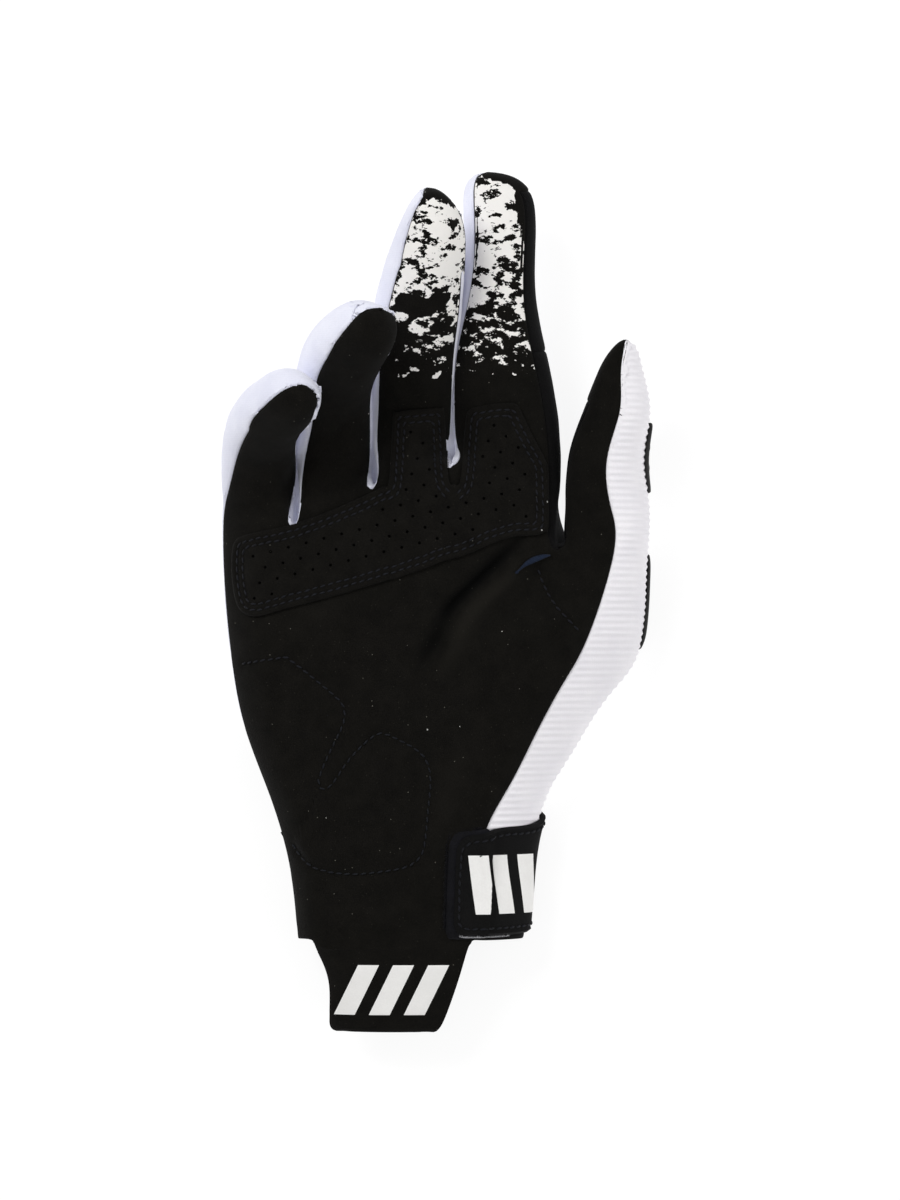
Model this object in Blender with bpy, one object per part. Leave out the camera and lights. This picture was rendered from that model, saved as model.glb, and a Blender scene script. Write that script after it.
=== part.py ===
# Right-hand motocross glove, lying on its back with the palm up.
# +Y runs from the cuff to the fingertips, +X points to the thumb side, +Z out of the palm.
# The origin is the middle of the glove's footprint box, on the surface that it lies on.
# One smooth hand form is modelled first. Each panel of cloth is then a sheet cut from it.

import math
from collections import namedtuple
from itertools import combinations

import bmesh
import bpy
import numpy as np
from mathutils import Vector
from mathutils.bvhtree import BVHTree

MM = 0.001

# Cloth
WALL = 1.4 * MM
PINCHED_WALL = 0.45 * MM  # where the cloth turns sharply
FULL_WALL_TURN = 0.97  # cosine of the turn up to which the wall keeps its thickness
PINCHED_TURN = 0.72
WALL_ROOM = 0.6  # thickest wall, as a share of the shortest edge beside it
SEAM_GAP = 0.3 * MM
SHARPEST_CORNER = 0.5  # least cosine used where a sheet's edge turns a corner
LAYER_GAP = 0.6 * MM

# Hand
HAND_LENGTH = 131.7 * MM  # cuff edge to the crotch of the middle finger
CUFF_WIDTH = 64.5 * MM
CUFF_SHIFT = -6.15 * MM  # the cuff's middle, from the middle of the knuckle row
PALM_DEPTH = 27.0 * MM
MID_HEIGHT = 13.0 * MM  # height of the hand's middle layer above the surface
WEB_WIDTH = 2.6 * MM
WEB_RISE = 1.6 * MM  # lift of the back of the hand at the webs
THUMB_SIDE = 14.7 * MM  # from the thumb's front seam to its outer side

# Digits: length from the root, width and depth of the finger
PINKY_LENGTH = 59.0 * MM
PINKY_WIDTH = 19.4 * MM
RING_LENGTH = 78.0 * MM
RING_WIDTH = 21.5 * MM
MIDDLE_LENGTH = 84.0 * MM
MIDDLE_WIDTH = 23.0 * MM
INDEX_LENGTH = 92.0 * MM
INDEX_WIDTH = 22.0 * MM
THUMB_LENGTH = 74.0 * MM
THUMB_WIDTH = 25.0 * MM

# Pull tab: the palm's suede carried on past the cuff
TAB_LENGTH = 26.3 * MM
TAB_DROP = 7.0 * MM

# Palm patch
PATCH_THICKNESS = 1.1 * MM

# Wrist strap
STRAP_THICKNESS = 1.6 * MM
STRAP_WIDTH = 29.0 * MM
HOOK_PAD_THICKNESS = 1.4 * MM

# Thumb guards
GUARD_THICKNESS = 1.9 * MM

# Roundness of the sections: 2 is an ellipse, more is squarer
PALM_SIDE_POWER = 2.5
BACK_SIDE_POWER = 3.6
DIGIT_POWER = 2.33

# Places on the hand's sides: heights as shares of half its depth, insets as shares of half its width
FRONT_EDGE_HEIGHT = 0.06
OUTER_EDGE_HEIGHT = -0.45
OUTER_EDGE_INSET = 0.04
BACK_INSET = 0.09
BACK_SHARE = 0.6  # how far the back's points follow the front's spacing
CUFF_HEIGHT = 0.9  # the cuff's middle layer, as a share of MID_HEIGHT
CROTCH_DROP = 2.5 * MM  # how far the thumb's outer side starts below its front seam

# Sections over which a digit's front seams turn from their root angle to their tip angle
SEAM_STEPS = 3

# Making of the form and the cloth
SMOOTH_LEVEL = 1
FIT_ROUNDS = 4
WALL_ROUNDS = 3
WALL_GRADE = 0.12  # change of the wall along the cloth
SETTLE_ROUNDS = 3
SETTLE_REACH = 8.0 * MM
RAY_START = 200.0 * MM
GUARD_RAY_START = 100.0 * MM

PANELS = (
    "palm_panel",
    "back_panel",
    "thumb_back_panel",
    "gusset_pinky_ring",
    "gusset_ring_middle",
    "gusset_middle_index",
    "thumb_crotch_gusset",
    "index_side_panel",
    "cuff_band",
)

# One section across the hand. along: share of the way from the cuff to the roots.
# left, right: share of the way from the cuff's side to the root row's side.
# seam: place of the palm's thumb-side seam, as a share of the width there.
# deep: share of PALM_DEPTH.
Row = namedtuple("Row", "along left right seam deep")
PALM_ROWS = (
    Row(0.00, 0.000, 0.00, 0.84, 0.86),
    Row(0.17, 0.105, 0.03, 0.82, 0.89),
    Row(0.34, 0.37, 0.08, 0.81, 0.96),
    Row(0.51, 0.715, 0.235, 0.865, 1.05),
    Row(0.68, 0.89, 0.485, 0.87, 1.09),
    Row(0.85, 0.98, 0.765, 0.87, 1.06),
    Row(1.00, 1.00, 1.00, 0.868, 1.00),
)

# One digit. span: its front width at the root, as a share of its own width.
# root_left, root_right: height of its two root corners, as shares of HAND_LENGTH.
# left, right: degrees from the section's side to the palm panel's seam, at the root and at the tip.
Digit = namedtuple("Digit", "name length width span root_left root_right left right stations")

# One section of a digit. reach, sway, lift: how far it lies from the root along +Y, +X and +Z,
# as shares of the digit's length. wide, deep: shares of its width. roll turns the palm side
# towards the thumb side. skew lifts the section's left side. Both are in degrees.
Station = namedtuple("Station", "reach sway lift wide deep roll skew")

PINKY = Digit("pinky", PINKY_LENGTH, PINKY_WIDTH, 1.00, 0.909, 0.907, (25, 56), (22, 12), (
    Station(0.15, 0.014, 0.02, 1.06, 0.98, 6, 0),
    Station(0.31, 0.014, 0.11, 1.08, 0.98, 16, 0),
    Station(0.43, 0.034, 0.25, 1.04, 0.98, 26, 0),
    Station(0.52, 0.100, 0.42, 1.00, 0.97, 32, 0),
    Station(0.575, 0.188, 0.58, 0.86, 0.86, 34, 0),
    Station(0.60, 0.238, 0.68, 0.56, 0.56, 34, 0),
    Station(0.628, 0.262, 0.715, 0.0, 0.0, 34, 0),
))
RING = Digit("ring", RING_LENGTH, RING_WIDTH, 0.93, 0.912, 0.985, (24, 48), (22, 12), (
    Station(0.15, -0.004, 0.020, 1.02, 0.93, 4, 6),
    Station(0.31, -0.004, 0.070, 0.98, 0.94, 14, 0),
    Station(0.43, 0.000, 0.175, 1.00, 0.98, 24, 0),
    Station(0.53, 0.040, 0.31, 1.02, 1.00, 30, 0),
    Station(0.60, 0.110, 0.45, 0.86, 0.90, 32, 0),
    Station(0.635, 0.155, 0.545, 0.58, 0.60, 32, 0),
    Station(0.680, 0.168, 0.585, 0.0, 0.0, 32, 0),
))
MIDDLE = Digit("middle", MIDDLE_LENGTH, MIDDLE_WIDTH, 0.883, 0.990, 1.025, (20, 48), (14, 20), (
    Station(0.10, -0.006, 0.010, 0.95, 0.87, 0, 4),
    Station(0.26, -0.006, 0.045, 0.965, 0.87, 0, 0),
    Station(0.43, -0.004, 0.110, 1.02, 0.88, 2, 0),
    Station(0.60, 0.018, 0.185, 1.04, 0.88, 4, 0),
    Station(0.77, 0.058, 0.270, 0.90, 0.82, 4, 10),
    Station(0.885, 0.090, 0.335, 0.72, 0.60, 4, 20),
    Station(0.945, 0.112, 0.370, 0.0, 0.0, 4, 22),
))
INDEX = Digit("index", INDEX_LENGTH, INDEX_WIDTH, 1.205, 1.032, 0.877, (14, 30), (40, 52), (
    Station(0.115, 0.010, 0.004, 1.45, 1.02, 0, 20),
    Station(0.28, 0.000, 0.010, 1.37, 1.00, 0, 8),
    Station(0.46, -0.018, 0.022, 1.23, 0.95, 0, 2),
    Station(0.64, -0.020, 0.044, 0.98, 0.89, 2, 0),
    Station(0.82, -0.016, 0.070, 0.93, 0.82, 4, 4),
    Station(0.955, -0.026, 0.088, 0.85, 0.56, 4, 12),
    Station(1.012, -0.060, 0.095, 0.0, 0.0, 4, 14),
))
THUMB = Digit("thumb", THUMB_LENGTH, THUMB_WIDTH, 0.34, 0.846, 0.658, (40, 62), (62, 55), (
    Station(0.18, 0.020, 0.01, 0.99, 0.96, -20, 12),
    Station(0.35, 0.024, 0.03, 0.96, 0.92, -30, 6),
    Station(0.54, 0.024, 0.07, 0.83, 0.86, -35, 0),
    Station(0.72, 0.070, 0.12, 0.75, 0.76, -35, 0),
    Station(0.86, 0.084, 0.16, 0.49, 0.58, -35, 0),
    Station(0.935, 0.098, 0.19, 0.27, 0.36, -35, 0),
    Station(0.968, 0.100, 0.20, 0.0, 0.0, -35, 0),
))
DIGITS = (PINKY, RING, MIDDLE, INDEX, THUMB)

# Lines across the pull tab, from the cuff outwards. out: share of TAB_LENGTH.
# left, right: the tab's edges, as shares of CUFF_WIDTH from the cuff's left side.
TabRow = namedtuple("TabRow", "out left right")
TAB_ROWS = (
    TabRow(0.0, 0.06, 0.80),
    TabRow(0.11, 0.083, 0.753),
    TabRow(0.45, 0.138, 0.711),
    TabRow(0.88, 0.139, 0.648),
    TabRow(1.0, 0.163, 0.612),
)

# Folds and hollows pressed into the palm: a line from one end to the other.
# x: share of the knuckle row's span, y: share of HAND_LENGTH. depth: share of PALM_DEPTH,
# less than 0 for a mound. reach: share of HAND_LENGTH.
Fold = namedtuple("Fold", "x0 y0 x1 y1 depth0 depth1 reach")
FOLDS = (
    Fold(0.745, 0.780, 0.470, 0.595, 0.12, 0.0, 0.045),
    Fold(0.58, 0.70, 0.48, 0.62, 0.055, 0.055, 0.152),
    Fold(0.75, 0.60, 0.81, 0.66, -0.11, -0.11, 0.121),
)
# How far a place must face up to be pressed in at all, and in full
FOLD_START = 0.3
FOLD_FULL = 0.7

# The palm patch, one row for each line across it, left to right.
# x: share of the way from the pinky's outer side to the index finger's root corner.
# low, high: shares of HAND_LENGTH.
PatchLine = namedtuple("PatchLine", "x low high")
PATCH_LINES = (
    PatchLine(0.030, 0.785, 0.840),
    PatchLine(0.042, 0.734, 0.866),
    PatchLine(0.065, 0.709, 0.875),
    PatchLine(0.111, 0.701, 0.883),
    PatchLine(0.199, 0.718, 0.896),
    PatchLine(0.308, 0.738, 0.922),
    PatchLine(0.417, 0.760, 0.955),
    PatchLine(0.487, 0.775, 0.980),
    PatchLine(0.508, 0.780, 0.992),
    PatchLine(0.520, 0.781, 1.132),
    PatchLine(0.532, 0.783, 1.141),
    PatchLine(0.562, 0.791, 1.145),
    PatchLine(0.596, 0.799, 1.147),
    PatchLine(0.632, 0.808, 1.149),
    PatchLine(0.661, 0.817, 1.150),
    PatchLine(0.676, 0.821, 1.138),
    PatchLine(0.688, 0.823, 1.000),
    PatchLine(0.704, 0.826, 0.986),
    PatchLine(0.724, 0.829, 0.996),
    PatchLine(0.740, 0.834, 1.126),
    PatchLine(0.754, 0.837, 1.148),
    PatchLine(0.785, 0.847, 1.154),
    PatchLine(0.830, 0.861, 1.159),
    PatchLine(0.886, 0.873, 1.160),
    PatchLine(0.903, 0.874, 1.149),
    PatchLine(0.938, 0.875, 1.097),
    PatchLine(0.961, 0.877, 1.067),
    PatchLine(0.981, 0.884, 1.040),
    PatchLine(0.991, 0.896, 1.010),
)
PATCH_CELL = 6.5 * MM
PATCH_SNAP = 0.5 * MM

# The wrist strap, one row for each line across it, from its sewn base to its free end.
# turn: degrees round the wrist from +X. low, high: its edges' distance from the cuff's edge,
# as shares of STRAP_WIDTH.
StrapLine = namedtuple("StrapLine", "turn low high")
STRAP_LINES = (
    StrapLine(-17, 0.10, 1.19),
    StrapLine(-9, 0.075, 1.19),
    StrapLine(-1, 0.06, 1.17),
    StrapLine(7, 0.05, 1.145),
    StrapLine(15, 0.045, 1.115),
    StrapLine(23, 0.045, 1.09),
    StrapLine(31, 0.045, 1.055),
    StrapLine(39, 0.05, 1.025),
    StrapLine(43.5, 0.065, 0.99),
    StrapLine(46.5, 0.135, 0.92),
)
HOOK_PAD_LINES = (
    StrapLine(26, 0.018, 1.10),
    StrapLine(34, 0.015, 1.08),
    StrapLine(42, 0.015, 1.06),
    StrapLine(46.5, 0.023, 1.025),
    StrapLine(49.5, 0.11, 0.955),
)
STRAP_STEPS = 4

# Rubber guards on the back of the thumb, one row for each line across one, going up it.
# along: share of the thumb's length. low, high: shares of the thumb's width, from its middle.
GuardLine = namedtuple("GuardLine", "along low high")
UPPER_GUARD = (
    GuardLine(0.385, -0.14, 0.16),
    GuardLine(0.43, -0.27, 0.25),
    GuardLine(0.52, -0.31, 0.27),
    GuardLine(0.61, -0.25, 0.25),
    GuardLine(0.655, -0.12, 0.16),
)
LOWER_GUARD = (
    GuardLine(-0.22, -0.06, 0.16),
    GuardLine(-0.15, -0.16, 0.28),
    GuardLine(-0.03, -0.20, 0.31),
    GuardLine(0.09, -0.20, 0.26),
    GuardLine(0.15, -0.12, 0.12),
)
GUARD_STEPS = 5
GUARD_FACING = math.radians(30)  # below the thumb's side

# Points round the hand form: the front of each digit takes three and each web one step.
FRONT = 3 * len(DIGITS)
RIGHT = FRONT
BACK = FRONT + 1
LEFT = 2 * FRONT + 1
AROUND = 2 * FRONT + 2


def back_of(front):
    """The ring's back point under one of its front points."""
    return LEFT - 1 - front


def mix(a, b, share):
    return a + (b - a) * share


# The smooth hand form

def root_row():
    """(x, y) of each front point along the knuckles, left to right, and the outer side's x."""
    spans = [d.width * d.span for d in DIGITS]
    total = sum(spans) + WEB_WIDTH * (len(DIGITS) - 1) + THUMB_SIDE
    x = -total / 2
    places = []
    for digit, span in zip(DIGITS, spans):
        low, high = digit.root_left * HAND_LENGTH, digit.root_right * HAND_LENGTH
        places += [(x, low), (x + span / 2, (low + high) / 2), (x + span, high)]
        x += span + WEB_WIDTH
    return places, x - WEB_WIDTH + THUMB_SIDE


def dome(side, power):
    """Height of a flattened arch at a place from -1 to 1 across it."""
    return (1 - min(abs(side), 1.0) ** power) ** (1 / power)


def palm_ring(row):
    """The points of one section across the hand."""
    places, root_right = root_row()
    root_left = places[0][0]
    left = mix(CUFF_SHIFT - CUFF_WIDTH / 2, root_left, row.left)
    right = mix(CUFF_SHIFT + CUFF_WIDTH / 2, root_right, row.right)
    seam = mix(left, right, row.seam)
    middle, half = (left + right) / 2, (right - left) / 2
    root_seam = places[-1][0]
    high = MID_HEIGHT * mix(CUFF_HEIGHT, 1.0, row.along)
    rise = PALM_DEPTH * row.deep / 2
    ring = [None] * AROUND
    for i, (root_x, root_y) in enumerate(places):
        share = mix(i / (FRONT - 1), (root_x - root_left) / (root_seam - root_left), row.along)
        y = root_y * row.along
        x = mix(left, seam, share)
        front_rise = max(FRONT_EDGE_HEIGHT, dome((x - middle) / half, PALM_SIDE_POWER))
        ring[i] = (x, y, high + rise * front_rise)
        inset = BACK_INSET * half
        back_x = mix(left + inset, right - inset, mix(i / (FRONT - 1), share, BACK_SHARE))
        web = WEB_RISE * row.along ** 4 if i % 3 != 1 else 0.0
        back_rise = dome((back_x - middle) / half, BACK_SIDE_POWER)
        ring[back_of(i)] = (back_x, y, high + web - rise * back_rise)
    ring[RIGHT] = (right, (places[-1][1] - CROTCH_DROP) * row.along, high)
    outer_x = left + OUTER_EDGE_INSET * half
    ring[LEFT] = (outer_x, places[0][1] * row.along, high + OUTER_EDGE_HEIGHT * rise)
    return ring


def digit_root(number):
    """Centre of a digit's root."""
    places, _ = root_row()
    front = places[3 * number:3 * number + 3]
    x = (front[0][0] + front[2][0]) / 2
    y = (front[0][1] + front[2][1]) / 2
    if number == len(DIGITS) - 1:
        x = (front[0][0] + places[-1][0] + THUMB_SIDE) / 2
    return Vector((x, y, MID_HEIGHT))


def station_centres(number):
    digit = DIGITS[number]
    root = digit_root(number)
    return [root] + [root + digit.length * Vector((s.sway, s.reach, s.lift)) for s in digit.stations]


def station_frame(centres, step, station):
    """Sideways and palmward axes of one section, at right angles to the digit's own line."""
    before, after = centres[step], centres[min(step + 2, len(centres) - 1)]
    forward = (after - before).normalized()
    heading = math.atan2(forward.x, forward.y)
    across = Vector((math.cos(heading), -math.sin(heading), 0))
    across = (across - across.dot(forward) * forward).normalized()
    palmward = across.cross(forward)
    skew, roll = math.radians(station.skew), math.radians(station.roll)
    across = across * math.cos(skew) - forward * math.sin(skew)
    turned = across * math.cos(roll) - palmward * math.sin(roll)
    return turned, palmward * math.cos(roll) + across * math.sin(roll)


def section_point(centre, across, palmward, half_wide, half_deep, degrees):
    """A point on a rounded, slightly square section."""
    c, s = math.cos(math.radians(degrees)), math.sin(math.radians(degrees))
    x = half_wide * math.copysign(abs(c) ** (2 / DIGIT_POWER), c)
    z = half_deep * math.copysign(abs(s) ** (2 / DIGIT_POWER), s)
    return centre + across * x + palmward * z


def digit_rings(number):
    """The eight points of each section of a digit, then its tip."""
    digit = DIGITS[number]
    centres = station_centres(number)
    rings = []
    for step, station in enumerate(digit.stations[:-1]):
        share = min(1.0, step / SEAM_STEPS)
        left, right = 180 - mix(*digit.left, share), mix(*digit.right, share)
        turns = (left, (left + right) / 2, right, (right - 45) / 2, -45, -90, -135, (left + 225) / 2)
        across, palmward = station_frame(centres, step, station)
        wide, deep = digit.width * station.wide / 2, digit.width * station.deep / 2
        rings.append([section_point(centres[step + 1], across, palmward, wide, deep, t) for t in turns])
    return rings, centres[-1]


class Cage:
    """Points and faces of the coarse hand form, with the panel that each face belongs to."""

    def __init__(self):
        self.points, self.faces, self.panels = [], [], []

    def point(self, place):
        self.points.append(tuple(place))
        return len(self.points) - 1

    def ring(self, places):
        return [self.point(p) for p in places]

    def face(self, corners, panel):
        self.faces.append(tuple(corners))
        self.panels.append(PANELS.index(panel))

    def band(self, low, high, panel_of, closed=True):
        """Faces between two rings. panel_of names the panel of each step round."""
        for k in range(len(low) if closed else len(low) - 1):
            n = (k + 1) % len(low)
            self.face((low[k], low[n], high[n], high[k]), panel_of(k))


def palm_panel_of(row, k):
    if k < FRONT - 1:
        return "palm_panel"
    if k == RIGHT - 1:
        return "cuff_band" if row < 2 else "thumb_back_panel"
    if k == RIGHT:
        return "cuff_band" if row < 3 else "thumb_back_panel"
    if row < 3:
        return "cuff_band"
    if k < back_of(3 * 3 + 2):
        return "thumb_back_panel"
    return "back_panel"


# Which panel covers each of a digit's four sides: front, right, back, left.
SIDES = {
    "pinky": ("palm_panel", "gusset_pinky_ring", "back_panel", "back_panel"),
    "ring": ("palm_panel", "gusset_ring_middle", "back_panel", "gusset_pinky_ring"),
    "middle": ("palm_panel", "gusset_middle_index", "back_panel", "gusset_ring_middle"),
    "index": ("palm_panel", "index_side_panel", "back_panel", "gusset_middle_index"),
    "thumb": ("palm_panel", "thumb_back_panel", "thumb_back_panel", "palm_panel"),
}
# Which panel covers each of the eight faces round a digit's tip, in the same order.
ROUND_TIP = ("palm_panel",) * 3 + ("back_panel",) * 4 + ("palm_panel",)
TIPS = {
    "pinky": ROUND_TIP,
    "ring": ROUND_TIP,
    "middle": ("palm_panel",) * 8,
    "index": ("palm_panel",) * 8,
    "thumb": ("palm_panel",) * 2 + ("thumb_back_panel",) * 4 + ("palm_panel",) * 2,
}
GUSSETS = ("gusset_pinky_ring", "gusset_ring_middle", "gusset_middle_index", "thumb_crotch_gusset")
CROTCH_STEPS = {("index", 1): 3, ("thumb", 3): 4}


def digit_panel_of(digit, step, k):
    side = k // 2
    if step < CROTCH_STEPS.get((digit.name, side), 0):
        return "thumb_crotch_gusset"
    return SIDES[digit.name][side]


def add_webs(cage, top):
    """The short faces between neighbouring digits. Returns the mid-depth points of each."""
    mids = []
    for w in range(len(DIGITS) - 1):
        a, b = 3 * w + 2, 3 * w + 3
        pair = []
        for front in (a, b):
            low, high = Vector(cage.points[top[front]]), Vector(cage.points[top[back_of(front)]])
            pair.append(cage.point((low + high) / 2))
        cage.face((top[a], top[b], pair[1], pair[0]), GUSSETS[w])
        cage.face((pair[0], pair[1], top[back_of(b)], top[back_of(a)]), GUSSETS[w])
        mids.append(pair)
    return mids


def add_digit(cage, number, top, mids):
    digit = DIGITS[number]
    f = 3 * number
    right = top[RIGHT] if number == len(DIGITS) - 1 else mids[number][0]
    left = top[LEFT] if number == 0 else mids[number - 1][1]
    low = [top[f], top[f + 1], top[f + 2], right]
    low += [top[back_of(f + 2)], top[back_of(f + 1)], top[back_of(f)], left]
    rings, tip = digit_rings(number)
    for step, places in enumerate(rings):
        high = cage.ring(places)
        cage.band(low, high, lambda k: digit_panel_of(digit, step, k))
        low = high
    pole = cage.point(tip)
    for k in range(len(low)):
        cage.face((low[k], low[(k + 1) % len(low)], pole), TIPS[digit.name][k])


def add_pull_tab(cage, cuff):
    """Rows of points carried on from the cuff's front edge, drooping towards the end."""
    columns = range(1, FRONT - 1)
    near = [cuff[c] for c in columns]
    for tab in TAB_ROWS[1:]:
        far = []
        for n, c in enumerate(columns):
            share = n / (len(columns) - 1)
            z0 = cage.points[cuff[c]][2]
            left = CUFF_SHIFT + CUFF_WIDTH * (tab.left - 0.5)
            right = CUFF_SHIFT + CUFF_WIDTH * (tab.right - 0.5)
            z = z0 - TAB_DROP * tab.out ** 1.5
            far.append(cage.point((mix(left, right, share), -tab.out * TAB_LENGTH, z)))
        cage.band(far, near, lambda k: "palm_panel", closed=False)
        near = far


def hand_cage():
    cage = Cage()
    rings = [cage.ring(palm_ring(row)) for row in PALM_ROWS]
    for number, (low, high) in enumerate(zip(rings, rings[1:])):
        cage.band(low, high, lambda k: palm_panel_of(number, k))
    add_pull_tab(cage, rings[0])
    mids = add_webs(cage, rings[-1])
    for number in range(len(DIGITS)):
        add_digit(cage, number, rings[-1], mids)
    return cage


def evaluated_mesh(guide):
    bpy.context.view_layer.update()
    graph = bpy.context.evaluated_depsgraph_get()
    return bpy.data.meshes.new_from_object(guide.evaluated_get(graph))


def smooth_surface(cage, level):
    """The subdivided hand form. It is fitted so that it passes through the cage's own points."""
    mesh = bpy.data.meshes.new("hand_form")
    mesh.from_pydata(cage.points, [], cage.faces)
    for name in PANELS:
        mesh.materials.append(bpy.data.materials.new("form_" + name))
    mesh.polygons.foreach_set("material_index", cage.panels)
    guide = bpy.data.objects.new("hand_form", mesh)
    guide.hide_render = True
    guide.display_type = "WIRE"
    bpy.context.scene.collection.objects.link(guide)
    smooth = guide.modifiers.new("smooth", "SUBSURF")
    smooth.levels = smooth.render_levels = level
    target = np.array(cage.points)
    control = target.copy()
    for _ in range(FIT_ROUNDS):
        result = evaluated_mesh(guide)
        reached = np.array([v.co for v in result.vertices[:len(target)]])
        bpy.data.meshes.remove(result)
        control += target - reached
        mesh.vertices.foreach_set("co", control.ravel())
        mesh.update()
    result = evaluated_mesh(guide)
    bpy.data.objects.remove(guide)
    return result


def fold_depth(x, y):
    """How far the palm is pressed in at a place, from the table of folds."""
    places, right = root_row()
    left = places[0][0]
    total = 0.0
    for fold in FOLDS:
        start = Vector((mix(left, right, fold.x0), fold.y0 * HAND_LENGTH))
        end = Vector((mix(left, right, fold.x1), fold.y1 * HAND_LENGTH))
        run = end - start
        share = (Vector((x, y)) - start).dot(run) / run.length_squared
        share = min(max(share, 0.0), 1.0)
        away = (Vector((x, y)) - start - run * share).length / (fold.reach * HAND_LENGTH)
        total += mix(fold.depth0, fold.depth1, share) * PALM_DEPTH * math.exp(-away * away)
    return total


def shape_surface(mesh):
    """Presses the folds into the palm side, and flattens what would lie below the surface."""
    normals = [v.normal.copy() for v in mesh.vertices]
    for vertex, normal in zip(mesh.vertices, normals):
        if normal.z > FOLD_START:
            share = min(1.0, (normal.z - FOLD_START) / (FOLD_FULL - FOLD_START))
            vertex.co.z -= fold_depth(vertex.co.x, vertex.co.y) * share
        vertex.co.z = max(vertex.co.z, 0.0)
    mesh.update()


# Panels

def link(name, mesh, material):
    mesh.materials.clear()
    mesh.materials.append(material)
    mesh.shade_smooth()
    mesh.set_sharp_from_angle(angle=math.radians(40))
    obj = bpy.data.objects.new(name, mesh)
    bpy.context.scene.collection.objects.link(obj)
    return obj


def solid_mesh(name, outer, inner, faces):
    """A closed wall between two matching sets of points."""
    count = len(outer)
    walls = [tuple(f) for f in faces] + [tuple(count + i for i in reversed(f)) for f in faces]
    for a, b in border_edges(faces):
        walls.append((b, a, count + a, count + b))
    mesh = bpy.data.meshes.new(name)
    mesh.from_pydata([tuple(p) for p in outer] + [tuple(p) for p in inner], [], walls)
    mesh.validate()
    return mesh


def border_edges(faces):
    """Edges that only one face uses, in that face's own direction."""
    seen = {}
    for face in faces:
        for a, b in zip(face, face[1:] + face[:1]):
            seen[(a, b)] = True
    return [edge for edge in seen if (edge[1], edge[0]) not in seen]


def inset_border(points, normals, faces, distance):
    """Draws a sheet's edge in by a distance, so that neighbouring sheets leave a seam gap."""
    inward = {}
    for a, b in border_edges(faces):
        for corner in (a, b):
            way = normals[corner].cross(points[b] - points[a]).normalized()
            inward.setdefault(corner, []).append(way)
    moved = list(points)
    for corner, ways in inward.items():
        total = sum(ways, Vector()).normalized()
        reach = max(total.dot(ways[0]), SHARPEST_CORNER)
        moved[corner] = points[corner] + total * (distance / reach)
    return moved


def wall_thickness(surface):
    """Wall at each point of the form. Sharp turns pinch the cloth, so that its inside can't cross."""
    flat = [1.0] * len(surface.vertices)
    room = [WALL] * len(surface.vertices)
    for edge in surface.edges:
        ends = [surface.vertices[i].co for i in edge.vertices]
        for corner in edge.vertices:
            room[corner] = min(room[corner], WALL_ROOM * (ends[0] - ends[1]).length)
    for polygon in surface.polygons:
        for corner in polygon.vertices:
            turn = polygon.normal.dot(surface.vertices[corner].normal)
            flat[corner] = min(flat[corner], turn)
    walls = []
    for turn, most in zip(flat, room):
        share = min(max((turn - PINCHED_TURN) / (FULL_WALL_TURN - PINCHED_TURN), 0.0), 1.0)
        walls.append(min(most, mix(PINCHED_WALL, WALL, share)))
    for _ in range(WALL_ROUNDS):
        for edge in surface.edges:
            a, b = edge.vertices
            grade = WALL_GRADE * (surface.vertices[a].co - surface.vertices[b].co).length
            walls[a] = min(walls[a], walls[b] + grade)
            walls[b] = min(walls[b], walls[a] + grade)
    return walls


def cut_panel(surface, walls, name, material):
    """One sheet of the hand form, with its wall inwards of the form's surface."""
    number = PANELS.index(name)
    chosen = [tuple(p.vertices) for p in surface.polygons if p.material_index == number]
    used = sorted({i for face in chosen for i in face})
    place = {old: new for new, old in enumerate(used)}
    faces = [tuple(place[i] for i in face) for face in chosen]
    normals = [surface.vertices[i].normal.copy() for i in used]
    points = [surface.vertices[i].co.copy() for i in used]
    outer = inset_border(points, normals, faces, SEAM_GAP / 2)
    inner = [p - n * walls[old] for p, n, old in zip(outer, normals, used)]
    return link(name, solid_mesh(name, outer, inner, faces), material)


# Pieces laid on the panels

def grid_faces(lines, steps):
    """Faces of a grid of points stored line by line."""
    faces = []
    for line in range(lines - 1):
        for step in range(steps):
            a = line * (steps + 1) + step
            b = a + steps + 1
            faces.append((a, b, b + 1, a + 1))
    return faces


def rest_on(tree, points, ways, faces):
    """Raises a sheet's points until none of its edges or diagonals dips into what it lies on."""
    pairs = [pair for face in faces for pair in combinations(face, 2)]
    for _ in range(SETTLE_ROUNDS):
        for pair in pairs:
            for share in (0.25, 0.5, 0.75):
                spot = points[pair[0]].lerp(points[pair[1]], share)
                way = ways[pair[0]].lerp(ways[pair[1]], share).normalized()
                hit = tree.ray_cast(spot - way * SETTLE_REACH, way)[0]
                if hit is None:
                    continue
                short = LAYER_GAP - (hit - spot).dot(way)
                if short > 0:
                    for corner in pair:
                        points[corner] = points[corner] - ways[corner] * short


def tree_of(*meshes):
    """A search tree of the faces of one or more meshes."""
    points, faces = [], []
    for mesh in meshes:
        faces += [tuple(len(points) + i for i in p.vertices) for p in mesh.polygons]
        points += [v.co.copy() for v in mesh.vertices]
    return BVHTree.FromPolygons(points, faces)


def laid_sheet(name, tree, rays, faces, thickness, material):
    """A sheet laid over the form: each ray meets the form under a point of the sheet."""
    under = [tree.ray_cast(start, way)[0] - way * LAYER_GAP for start, way in rays]
    rest_on(tree, under, [direction for _, direction in rays], faces)
    outer = [p - direction * thickness for p, (_, direction) in zip(under, rays)]
    a, b, c = (outer[i] for i in faces[0][:3])
    if (b - a).cross(c - a).dot(rays[0][1]) > 0:
        faces = [tuple(reversed(f)) for f in faces]
    return link(name, solid_mesh(name, outer, under, faces), material)


def patch_place(x_share, y_share):
    places, _ = root_row()
    index_corner = places[3 * 3 + 2][0]
    return mix(places[0][0], index_corner, x_share), y_share * HAND_LENGTH


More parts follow.
